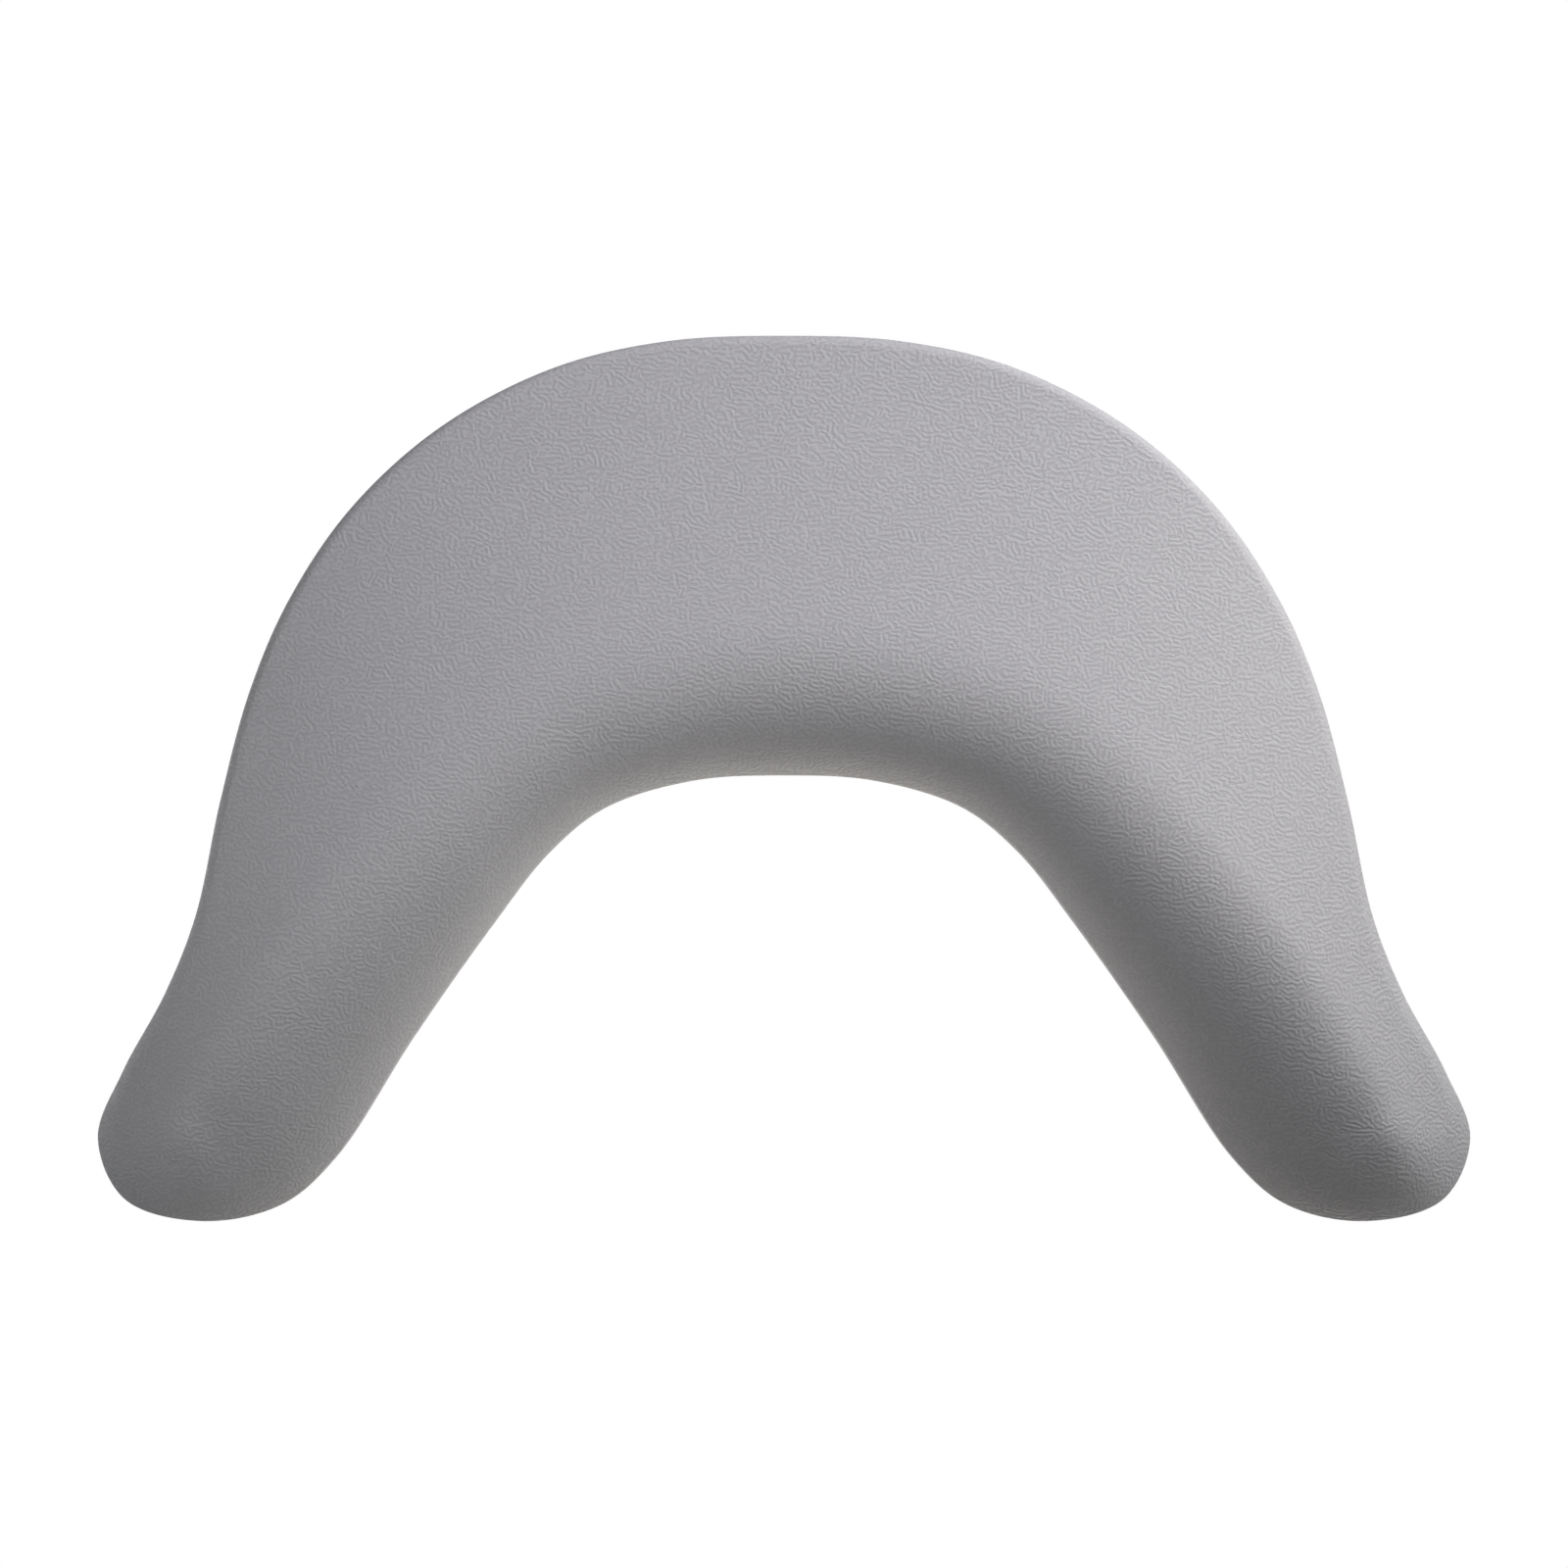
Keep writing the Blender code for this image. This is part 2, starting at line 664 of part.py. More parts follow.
def make_carrier():
    """The glass-filled nylon moulding inside the foam: a tray with ribs, bosses and a solid core."""
    mesh = flat("carrier", inset_outline(CARRIER_INSET), CARRIER_DEPTH)
    carrier = part("carrier", mesh, BLACK_NYLON, TILT_AXLE, on_back(0, 0, -CARRIER_DEPTH / 2), FACING_FRONT)
    overcut = 2 * MM
    depth = CARRIER_DEPTH - CARRIER_FLOOR + overcut
    tray = flat("carrier_tray", inset_outline(CARRIER_INSET + CARRIER_WALL), depth)
    tray_tool = cutter("carrier_tray", tray, on_back(0, 0, overcut - depth / 2), FACING_FRONT)
    core_width = 2 * (EAR_INNER_X + FOOT_WIDTH + CORE_MARGIN)
    core_size = (core_width, CARRIER_DEPTH * 4, FOOT_HEIGHT + 2 * CORE_MARGIN)
    core = cutter("core", box("core", core_size), on_back(0, 0))
    keep = [core]
    for side, sign in SIDES:
        for number, along in enumerate(RIB_PLACES, start=1):
            keep.append(rib_tool(f"rib_{side}_{number}", along, sign))
    for name, x, z in COVER_SCREWS:
        boss = rod("boss_" + name, BOSS_RADIUS, CARRIER_DEPTH * 3, SMALL_SIDES)
        keep.append(cutter("boss_" + name, boss, on_back(x, z), FACING_BACK))
    cut(carrier, tray_tool)
    cut(tray_tool, *keep)
    pocket_depth = 2 * (CARRIER_DEPTH - CARRIER_FLOOR)
    for row, up in (("upper", 1), ("lower", -1)):
        for column in (-1, 0, 1):
            name = f"core_pocket_{row}_{column + 2}"
            pocket = box(name, (CORE_POCKET_WIDTH, pocket_depth, CORE_POCKET_HEIGHT))
            across = column * (CORE_POCKET_WIDTH + RIB)
            lift = up * (CORE_POCKET_HEIGHT + RIB) / 2
            cut(carrier, cutter(name, pocket, on_back(across, lift)))
    for name, x, z in BRACKET_SCREWS:
        bore = rod("insert_bore_" + name, INSERT_RADIUS + FIT, 2 * (INSERT_LENGTH + SEAT), FASTENER_SIDES)
        cut(carrier, cutter("insert_bore_" + name, bore, on_back(x, z), FACING_BACK))
    for name, x, z in COVER_SCREWS:
        pilot = rod("pilot_" + name, COVER_SCREW_RADIUS + FIT, 2 * (COVER_SCREW_BITE + END_GAP), SMALL_SIDES)
        cut(carrier, cutter("pilot_" + name, pilot, on_back(x, z), FACING_BACK))


def make_cover():
    """The back cover: an open dish with screw posts, and a window for the hinge."""
    rings = [ring(COVER_INSET, -SEAT)]
    for degrees in (0, 30, 60, 90):
        turn = math.radians(degrees)
        inset = COVER_INSET + COVER_EDGE_ROLL * (1 - math.cos(turn))
        rise = COVER_RISE - COVER_EDGE_ROLL * (1 - math.sin(turn))
        rings.append(ring(inset, -rise))
    rings.append(middle_ring(-COVER_RISE))
    cover = part("rear_cover", loft("rear_cover", rings), COVER_ABS, TILT_AXLE, on_back(0, 0))
    shell = cover.modifiers.new("wall", "SOLIDIFY")
    shell.thickness = COVER_WALL
    shell.offset = -1
    shell.use_even_offset = True
    post_length = COVER_RISE - COVER_WALL / 2 - SEAT
    for name, x, z in COVER_SCREWS:
        post = rod("post_" + name, POST_RADIUS, post_length, SMALL_SIDES)
        join(cover, cutter("post_" + name, post, on_back(x, z, SEAT + post_length / 2), FACING_BACK))
    for name, x, z in COVER_SCREWS:
        well = rod("well_" + name, COVER_SCREW_HEAD + 3 * FIT, COVER_RISE, SMALL_SIDES)
        cut(cover, cutter("well_" + name, well, on_back(x, z, COVER_LAND + COVER_RISE / 2), FACING_BACK))
        hole = rod("hole_" + name, COVER_SCREW_RADIUS + 2 * FIT, 3 * COVER_RISE, SMALL_SIDES)
        cut(cover, cutter("hole_" + name, hole, on_back(x, z), FACING_BACK))
    width = 2 * (EAR_INNER_X + FOOT_WIDTH + WINDOW_MARGIN)
    window = rounded(rectangle(width, FOOT_HEIGHT + 2 * WINDOW_MARGIN), WINDOW_CORNER, 4)
    tool = flat("window", window, 4 * COVER_RISE)
    cut(cover, cutter("window", tool, on_back(0, 0), FACING_FRONT))


def make_pad_fasteners():
    """Brass inserts in the carrier, and the screws of the hinge brackets and the cover."""
    for name, x, z in BRACKET_SCREWS:
        ring_profile = [
            (BRACKET_SCREW_RADIUS + FIT, 0),
            (INSERT_RADIUS, 0),
            (INSERT_RADIUS, -INSERT_LENGTH),
            (BRACKET_SCREW_RADIUS + FIT, -INSERT_LENGTH),
        ]
        mesh = profile("brass_insert", ring_profile)
        insert = part("brass_insert_" + name, mesh, BRASS, TILT_AXLE, on_back(x, z), FACING_BACK)
        turned(insert, FASTENER_SIDES)
        length = EAR_THICKNESS + SEAT + INSERT_LENGTH - END_GAP
        place = on_back(x, z, EAR_THICKNESS + 2 * SEAT)
        screw("bracket_screw_" + name, BRACKET_SCREW_RADIUS, length, BRACKET_SCREW_HEAD,
              BRACKET_SCREW_HEAD_HEIGHT, TILT_AXLE, place, FACING_BACK, FASTENER_SIDES)
    for name, x, z in COVER_SCREWS:
        place = on_back(x, z, COVER_LAND + SEAT)
        screw("cover_screw_" + name, COVER_SCREW_RADIUS, COVER_LAND + COVER_SCREW_BITE, COVER_SCREW_HEAD,
              COVER_SCREW_HEAD_HEIGHT, TILT_AXLE, place, FACING_BACK, SMALL_SIDES)


def screw(name, radius, length, head_radius, head_height, group, place, turn, sides):
    """A domed screw with a hexagon socket. Its origin is under the head, which is on its local +Z."""
    points = [
        (0, head_height),
        (head_radius * 0.6, head_height),
        (head_radius * 0.92, head_height * 0.55),
        (head_radius, 0),
        (radius, 0),
        (radius, -length),
        (0, -length),
    ]
    made = turned(part(name, profile(name, points), ZINC_STEEL, group, place, turn), sides)
    socket_depth = head_height * 0.6
    socket = rod("socket_" + name, head_radius * HEX_SOCKET_SHARE, 2 * socket_depth, sides=6)
    tool = cutter("socket_" + name, socket, turn=turn)
    lift = Matrix.LocRotScale(None, made.rotation_euler, None) @ Vector((0, 0, head_height))
    tool.location = Vector(place) + lift
    cut(made, tool)
    return made


# ---------------------------------------------------------------- hinge


def make_brackets():
    """Two L brackets of folded steel. The corners of each ear's square end are the tilt stops."""
    depth = PAD_STANDOFF + EAR_REACH - SEAT
    front_y = PAD_BACK_Y + SEAT
    folded = [
        (0, 0),
        (FOOT_WIDTH, 0),
        (FOOT_WIDTH, EAR_THICKNESS),
        (EAR_THICKNESS, EAR_THICKNESS),
        (EAR_THICKNESS, depth),
        (0, depth),
    ]
    section = rounded(folded, [BEND_RADIUS + EAR_THICKNESS, 0, 0, BEND_RADIUS, 0, 0])
    margin = 1 * MM
    ear_shape = [
        (front_y - margin, -FOOT_HEIGHT / 2 - margin),
        (front_y + EAR_THICKNESS, -FOOT_HEIGHT / 2 - margin),
        (AXLE_Y, -EAR_DOWN),
        (AXLE_Y + 2 * EAR_REACH, -EAR_DOWN),
        (AXLE_Y + 2 * EAR_REACH, EAR_UP),
        (AXLE_Y, EAR_UP),
        (front_y + EAR_THICKNESS, FOOT_HEIGHT / 2 + margin),
        (front_y - margin, FOOT_HEIGHT / 2 + margin),
    ]
    hole_radius = BRACKET_SCREW_RADIUS + 2 * FIT
    foot_shape = rounded(rectangle(FOOT_WIDTH, FOOT_HEIGHT), FOOT_CORNER)
    holes = [circle(0, up * BRACKET_SCREW_Z, hole_radius) for up in (1, -1)]
    for side, sign in SIDES:
        name = "hinge_bracket_" + side
        mesh = flat(name, [(sign * x, y) for x, y in section], FOOT_HEIGHT)
        bracket = part(name, mesh, PRESSED_STEEL, TILT_AXLE, (sign * EAR_INNER_X, front_y, 0))
        foot_x = sign * (EAR_INNER_X + FOOT_WIDTH / 2)
        foot = flat("foot_" + side, foot_shape, 4 * depth)
        trim(bracket, cutter("foot_" + side, foot, (foot_x, front_y, 0), FACING_FRONT))
        ear = flat("ear_" + side, ear_shape, 4 * FOOT_WIDTH)
        ear.transform(Matrix(((0, 0, 1, 0), (1, 0, 0, 0), (0, 1, 0, 0), (0, 0, 0, 1))))
        trim(bracket, cutter("ear_" + side, ear))
        for level, hole in zip(("upper", "lower"), holes):
            drill_name = f"foot_hole_{side}_{level}"
            drill = flat(drill_name, hole, 4 * EAR_THICKNESS)
            place = (sign * BRACKET_SCREW_X, front_y, 0)
            cut(bracket, cutter(drill_name, drill, place, FACING_FRONT))
        bore = rod("ear_bore_" + side, AXLE_RADIUS + FIT, 4 * EAR_THICKNESS)
        cut(bracket, cutter("ear_bore_" + side, bore, (sign * EAR_INNER_X, AXLE_Y, 0), FACING_RIGHT))


def make_axle():
    """The axle bolt and what it clamps, from the head on the left to the lock nut on the right."""
    hole = AXLE_RADIUS + FIT
    washer = [(hole, 0), (WASHER_RADIUS, 0), (WASHER_RADIUS, -WASHER_THICKNESS), (hole, -WASHER_THICKNESS)]
    washer_x = EAR_OUTER_X + SEAT + WASHER_THICKNESS
    for side, turn, sign in (("right", FACING_RIGHT, 1), ("left", FACING_LEFT, -1)):
        name = "axle_washer_" + side
        turned(part(name, profile(name, washer), ZINC_STEEL, TILT_AXLE, (sign * washer_x, AXLE_Y, 0), turn))
    head_x = washer_x + SEAT
    rise = DISC_SPRING_RISE
    height = DISC_SPRING_THICKNESS
    spring_x = head_x
    for number, points in enumerate(
        (
            [(hole, height + rise), (WASHER_RADIUS, height), (WASHER_RADIUS, 0), (hole, rise)],
            [(hole, height), (WASHER_RADIUS, height + rise), (WASHER_RADIUS, rise), (hole, 0)],
        ),
        start=1,
    ):
        name = f"disc_spring_{number}"
        turned(part(name, profile(name, points), SPRING_STEEL, TILT_AXLE, (spring_x, AXLE_Y, 0), FACING_RIGHT))
        spring_x += height + rise + SEAT
    nut_x = spring_x
    end_x = nut_x + NUT_HEIGHT + THREAD_STAND_OUT
    points = [(0, 0), (AXLE_RADIUS, 0), (AXLE_RADIUS, -head_x - end_x), (0, -head_x - end_x)]
    bolt = part("axle_bolt", profile("axle_bolt", points), ZINC_STEEL, TILT_AXLE, (-head_x, AXLE_Y, 0), FACING_LEFT)
    turned(bolt)
    head = hexagon("bolt_head", NUT_FLATS, HEAD_HEIGHT)
    tool = cutter("bolt_head", head, (-head_x - HEAD_HEIGHT / 2 + SEAT / 10, AXLE_Y, 0), FACING_LEFT)
    join(bolt, tool)
    nut_mesh = hexagon("axle_nut", NUT_FLATS, NUT_HEIGHT)
    nut = part("axle_nut", nut_mesh, ZINC_STEEL, TILT_AXLE, (nut_x + NUT_HEIGHT / 2, AXLE_Y, 0), FACING_RIGHT)
    bore = rod("nut_bore", hole, 3 * NUT_HEIGHT)
    cut(nut, cutter("nut_bore", bore, (nut_x + NUT_HEIGHT / 2, AXLE_Y, 0), FACING_RIGHT))
    inner = NUT_FLATS / math.sqrt(3) + FIT
    make_cap("axle_cap_left", inner, HEAD_HEIGHT, (-head_x - SEAT, AXLE_Y, 0), FACING_LEFT)
    make_cap("axle_cap_right", inner, NUT_HEIGHT + THREAD_STAND_OUT, (nut_x + SEAT, AXLE_Y, 0), FACING_RIGHT)


def make_cap(name, inner, depth, place, turn):
    """A push-on plastic cap over a hexagon, open towards the ear."""
    outer = inner + CAP_WALL
    top = depth + SEAT + CAP_WALL
    points = [
        (0, top),
        (outer - CAP_WALL, top),
        (outer, top - CAP_WALL),
        (outer, 0),
        (inner, 0),
        (inner, top - CAP_WALL),
        (0, top - CAP_WALL),
    ]
    turned(part(name, profile(name, points), BLACK_NYLON, TILT_AXLE, place, turn))


# ---------------------------------------------------------------- carriage


def make_carriage():
    """The die-cast carriage: a slider in the channel, a cheek in front of the lips, and the hinge barrel."""
    mouth_gap = 1.2 * MM
    neck_width = CHANNEL_WIDTH - 2 * (LIP_REACH + mouth_gap)
    slider_width = CHANNEL_WIDTH - 2 * (GLIDE_WALL + 2 * SLIDE)
    slider = box("carriage", (slider_width, SLIDER_THICKNESS, SLIDER_HEIGHT))
    carriage = part("carriage", slider, CAST_ZINC, HEIGHT_SLIDE, (0, CHANNEL_MIDDLE_Y, 0))
    overlap = 1 * MM
    neck_depth = abs(CHEEK_BACK_Y - CHANNEL_MIDDLE_Y) + overlap
    neck = box("neck", (neck_width, neck_depth, SLIDER_HEIGHT - 2 * NECK_SHORTER))
    cheek = box("cheek", (2 * (EAR_OUTER_X + CHEEK_MARGIN), CHEEK_THICKNESS, 2 * EAR_DOWN))
    stem_depth = abs(AXLE_Y - CHEEK_FRONT_Y) + overlap
    stem = box("stem", (BARREL_LENGTH, stem_depth, 2 * (BARREL_RADIUS - STEM_STEP)))
    barrel = rod("barrel", BARREL_RADIUS, BARREL_LENGTH)
    cheek_tool = cutter("cheek", cheek, (0, (CHEEK_BACK_Y + CHEEK_FRONT_Y) / 2, 0))
    soften(cheek_tool, 1 * MM)
    join(
        carriage,
        cutter("neck", neck, (0, CHEEK_BACK_Y - overlap + neck_depth / 2, 0)),
        cheek_tool,
        cutter("stem", stem, (0, CHEEK_FRONT_Y + overlap - stem_depth / 2, 0)),
        cutter("barrel", barrel, (0, AXLE_Y, 0), FACING_RIGHT),
    )
    bush_radius = AXLE_RADIUS + FIT + BUSH_WALL
    bore = rod("barrel_bore", bush_radius + FIT, BARREL_LENGTH * 2)
    shoe_bore = rod("shoe_bore", SHOE_RADIUS + FIT, 2 * SHOE_BORE_DEPTH)
    slider_back_y = CHANNEL_MIDDLE_Y + SLIDER_THICKNESS / 2
    cut(
        carriage,
        cutter("barrel_bore", bore, (0, AXLE_Y, 0), FACING_RIGHT),
        cutter("shoe_bore", shoe_bore, (0, slider_back_y, 0), FACING_BACK),
    )
    glide_thickness = CHANNEL_DEPTH - 2 * SLIDE
    glide_width = GLIDE_WALL + GLIDE_SLOT
    slot_half = SLIDER_THICKNESS / 2 + SEAT
    for side, sign in SIDES:
        u_shape = [
            (0, -glide_thickness / 2),
            (sign * -glide_width, -glide_thickness / 2),
            (sign * -glide_width, -slot_half),
            (sign * -GLIDE_WALL, -slot_half),
            (sign * -GLIDE_WALL, slot_half),
            (sign * -glide_width, slot_half),
            (sign * -glide_width, glide_thickness / 2),
            (0, glide_thickness / 2),
        ]
        name = "glide_" + side
        place = (sign * (CHANNEL_WIDTH / 2 - SLIDE), CHANNEL_MIDDLE_Y, 0)
        part(name, flat(name, u_shape, SLIDER_HEIGHT), ACETAL, HEIGHT_SLIDE, place)
    make_friction_shoe(slider_back_y)
    hole = AXLE_RADIUS + FIT
    bush = [(hole, 0), (bush_radius, 0), (bush_radius, -BUSH_LENGTH), (hole, -BUSH_LENGTH)]
    disc_radius = BARREL_RADIUS - DISC_STEP
    disc = [(hole, DISC_THICKNESS), (disc_radius, DISC_THICKNESS), (disc_radius, 0), (hole, 0)]
    for side, turn, sign in (("right", FACING_RIGHT, 1), ("left", FACING_LEFT, -1)):
        bush_x = sign * (BARREL_LENGTH / 2 - SEAT)
        disc_x = sign * (BARREL_LENGTH / 2 + SEAT)
        name = "axle_bush_" + side
        turned(part(name, profile(name, bush), ACETAL, HEIGHT_SLIDE, (bush_x, AXLE_Y, 0), turn))
        name = "friction_disc_" + side
        turned(part(name, profile(name, disc), FRICTION, HEIGHT_SLIDE, (disc_x, AXLE_Y, 0), turn))


def make_friction_shoe(slider_back_y):
    """The sprung shoe that presses on the web and holds the height."""
    shoe = rod("friction_shoe", SHOE_RADIUS, SHOE_LENGTH)
    shoe_front_y = -TRACK_WEB - SEAT - SHOE_LENGTH
    place = (0, shoe_front_y + SHOE_LENGTH / 2, 0)
    part("friction_shoe", shoe, FRICTION, HEIGHT_SLIDE, place, FACING_BACK)
    bore_end_y = slider_back_y - SHOE_BORE_DEPTH
    length = shoe_front_y - bore_end_y - 2 * (SEAT + SPRING_WIRE)
    radius = SHOE_RADIUS - SPRING_WIRE - FIT
    per_turn = 10
    curve = bpy.data.curves.new("shoe_spring", "CURVE")
    curve.dimensions = "3D"
    curve.bevel_depth = SPRING_WIRE
    curve.bevel_resolution = 2
    curve.use_fill_caps = True
    spline = curve.splines.new("POLY")
    count = SPRING_TURNS * per_turn
    spline.points.add(count)
    for i, point in enumerate(spline.points):
        angle = math.tau * i / per_turn
        point.co = (radius * math.cos(angle), radius * math.sin(angle), length * i / count, 1)
    mesh = solid_from_curve("shoe_spring", curve)
    part("shoe_spring", mesh, SPRING_STEEL, HEIGHT_SLIDE, (0, bore_end_y + SEAT + SPRING_WIRE, 0), FACING_BACK)


# ---------------------------------------------------------------- track


def make_track():
    """The extruded track that is bolted to the chair, with its four bolt holes."""
    half = [
        (TRACK_WIDTH / 2, 0),
        (TRACK_WIDTH / 2, -TRACK_FLANGE),
        (CHANNEL_WIDTH / 2 + CHANNEL_WALL, -TRACK_FLANGE),
        (CHANNEL_WIDTH / 2 + CHANNEL_WALL, TRACK_FRONT_Y),
        (CHANNEL_WIDTH / 2 - LIP_REACH, TRACK_FRONT_Y),
        (CHANNEL_WIDTH / 2 - LIP_REACH, TRACK_FRONT_Y + TRACK_LIP),
        (CHANNEL_WIDTH / 2, TRACK_FRONT_Y + TRACK_LIP),
        (CHANNEL_WIDTH / 2, -TRACK_WEB),
    ]
    section = half + [(-x, y) for x, y in reversed(half)]
    mesh = flat("track", rounded(section, TRACK_CORNER, 2), TRACK_HEIGHT)
    track = part("track", mesh, ANODISED, TRACK_DATUM)
    hole_x = (TRACK_WIDTH / 2 + CHANNEL_WIDTH / 2 + CHANNEL_WALL) / 2
    hole_z = TRACK_HEIGHT / 2 - CHAIR_HOLE_EDGE
    for side, sign in SIDES:
        for level, up in (("upper", 1), ("lower", -1)):
            name = f"chair_hole_{side}_{level}"
            hole = rod(name, CHAIR_HOLE_RADIUS, 4 * TRACK_FLANGE)
            cut(track, cutter(name, hole, (sign * hole_x, 0, up * hole_z), FACING_BACK))
    for level, up in (("top", 1), ("bottom", -1)):
        name = f"tapped_hole_{level}"
        hole = rod(name, STOP_SCREW_RADIUS + FIT, 4 * TRACK_WEB, SMALL_SIDES)
        cut(track, cutter(name, hole, (0, 0, up * STOP_Z), FACING_BACK))
        make_stop(level, up)


def make_stop(level, up):
    """A nylon block in the end of the channel, held by one screw."""
    width = CHANNEL_WIDTH - 2 * SLIDE
    depth = CHANNEL_DEPTH - 2 * SLIDE
    name = "end_stop_" + level
    stop = part(name, box(name, (width, depth, STOP_LENGTH)), BLACK_NYLON, TRACK_DATUM, (0, CHANNEL_MIDDLE_Y, up * STOP_Z))
    soften(stop, 0.5 * MM, 1)
    hole = rod("hole_" + name, STOP_SCREW_RADIUS + FIT, 2 * depth, SMALL_SIDES)
    cut(stop, cutter("hole_" + name, hole, (0, CHANNEL_MIDDLE_Y, up * STOP_Z), FACING_BACK))
    front_y = CHANNEL_MIDDLE_Y - depth / 2
    length = depth + SLIDE + TRACK_WEB - END_GAP
    screw("stop_screw_" + level, STOP_SCREW_RADIUS, length, STOP_SCREW_HEAD, STOP_SCREW_HEAD_HEIGHT,
          TRACK_DATUM, (0, front_y - SEAT, up * STOP_Z), FACING_FRONT, SMALL_SIDES)


make_pad()
make_carrier()
make_cover()
make_pad_fasteners()
make_brackets()
make_axle()
make_carriage()
make_track()
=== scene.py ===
import math

import bmesh
import bpy
from mathutils import Matrix, Vector
from mathutils.kdtree import KDTree


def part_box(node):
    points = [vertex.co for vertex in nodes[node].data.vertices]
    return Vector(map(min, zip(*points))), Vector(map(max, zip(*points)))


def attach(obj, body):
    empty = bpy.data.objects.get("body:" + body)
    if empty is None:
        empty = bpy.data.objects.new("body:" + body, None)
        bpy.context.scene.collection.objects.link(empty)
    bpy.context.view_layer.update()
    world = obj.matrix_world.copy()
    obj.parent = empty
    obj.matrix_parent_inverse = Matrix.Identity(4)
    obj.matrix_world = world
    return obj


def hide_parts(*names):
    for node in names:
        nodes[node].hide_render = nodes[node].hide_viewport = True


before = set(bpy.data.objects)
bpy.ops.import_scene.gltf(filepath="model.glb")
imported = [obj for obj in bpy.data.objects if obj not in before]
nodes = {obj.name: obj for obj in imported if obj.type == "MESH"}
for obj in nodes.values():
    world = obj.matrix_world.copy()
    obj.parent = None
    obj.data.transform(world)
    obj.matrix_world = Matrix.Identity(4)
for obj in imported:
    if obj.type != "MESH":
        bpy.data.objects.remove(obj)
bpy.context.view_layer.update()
MM = 0.001

# ---------------------------------------------------------------- chair track
# An aluminium extrusion with two flanges and a lipped channel, cut to length, drilled, tapped for the stop
# screws and satin anodised. It is bolted through the flanges to the chair's back.


def put(tree, kind, inputs=(), **settings):
    """A new node. Settings are its own properties; inputs are its sockets' values or what feeds them."""
    node = tree.nodes.new(kind)
    for key, value in settings.items():
        setattr(node, key, value)
    for key, value in dict(inputs).items():
        if isinstance(value, bpy.types.NodeSocket):
            tree.links.new(value, node.inputs[key])
        else:
            node.inputs[key].default_value = value
    return node


def blend_colours(tree, share, first, second):
    """The first colour where the share is 0, the second where it is 1."""
    node = put(tree, "ShaderNodeMix", {0: share, 6: first, 7: second}, data_type="RGBA")
    return node.outputs[2]


def graded_value(tree, value, low, high):
    """A value from 0 to 1, stretched to run from low to high."""
    node = put(tree, "ShaderNodeMapRange", {"Value": value, "To Min": low, "To Max": high})
    return node.outputs["Result"]


def effect_group(name, inputs, outputs):
    """An empty shader node group, with its input node and its output node. Inputs are (name, type, value)."""
    group = bpy.data.node_groups.new(name, "ShaderNodeTree")
    for label, kind, value in inputs:
        socket = group.interface.new_socket(label, in_out="INPUT", socket_type=kind)
        if value is not None:
            socket.default_value = value
    for label in outputs:
        group.interface.new_socket(label, in_out="OUTPUT", socket_type="NodeSocketFloat")
    return group, put(group, "NodeGroupInput"), put(group, "NodeGroupOutput")


# Fine texture and slight soiling of moulded, cast and coated surfaces. Height is the fine texture, Mottle a
# broad variation, and Scuffs the few thin rubbed lines that handling leaves.
surface_texture, given, made = effect_group(
    "surface_texture",
    [("Vector", "NodeSocketVector", None), ("Grain Size", "NodeSocketFloat", 0.0005)],
    ["Height", "Mottle", "Scuffs"],
)
per_metre = put(
    surface_texture, "ShaderNodeMath", {0: 1.0, 1: given.outputs["Grain Size"]}, operation="DIVIDE"
)
fine = put(
    surface_texture,
    "ShaderNodeTexNoise",
    {"Vector": given.outputs["Vector"], "Scale": per_metre.outputs[0], "Detail": 2.0, "Roughness": 0.55},
)
broad = put(
    surface_texture,
    "ShaderNodeTexNoise",
    {"Vector": given.outputs["Vector"], "Scale": 38.0, "Detail": 4.0, "Roughness": 0.6},
)
bent = put(
    surface_texture, "ShaderNodeTexNoise", {"Vector": given.outputs["Vector"], "Scale": 9.0, "Detail": 1.0}
)
turned_about = put(
    surface_texture,
    "ShaderNodeVectorRotate",
    {"Vector": given.outputs["Vector"], "Rotation": bent.outputs["Color"]},
    rotation_type="EULER_XYZ",
)
stretched = put(
    surface_texture,
    "ShaderNodeMapping",
    {"Vector": turned_about.outputs["Vector"], "Rotation": (0.5, 0.9, 0.3), "Scale": (1.0, 30.0, 30.0)},
)
lines = put(
    surface_texture,
    "ShaderNodeTexNoise",
    {"Vector": stretched.outputs["Vector"], "Scale": 60.0, "Detail": 2.0, "Roughness": 0.6},
)
rubbed = put(
    surface_texture,
    "ShaderNodeMapRange",
    {"Value": lines.outputs["Fac"], "From Min": 0.70, "From Max": 0.80},
    interpolation_type="SMOOTHSTEP",
)
surface_texture.links.new(fine.outputs["Fac"], made.inputs["Height"])
surface_texture.links.new(broad.outputs["Fac"], made.inputs["Mottle"])
surface_texture.links.new(rubbed.outputs["Result"], made.inputs["Scuffs"])


def new_material(name):
    """A material with its node tree and its Principled shader."""
    material = bpy.data.materials.new(name)
    material.use_nodes = True
    return material, material.node_tree, material.node_tree.nodes["Principled BSDF"]


def feed_shader(tree, shader, colour, roughness, height, distance):
    """Gives a shader its colour and roughness, and a height from 0 to 1 as a bump this many metres high."""
    bump = put(tree, "ShaderNodeBump", {"Height": height, "Strength": 1.0, "Distance": distance})
    tree.links.new(colour, shader.inputs["Base Color"])
    tree.links.new(roughness, shader.inputs["Roughness"])
    tree.links.new(bump.outputs["Normal"], shader.inputs["Normal"])


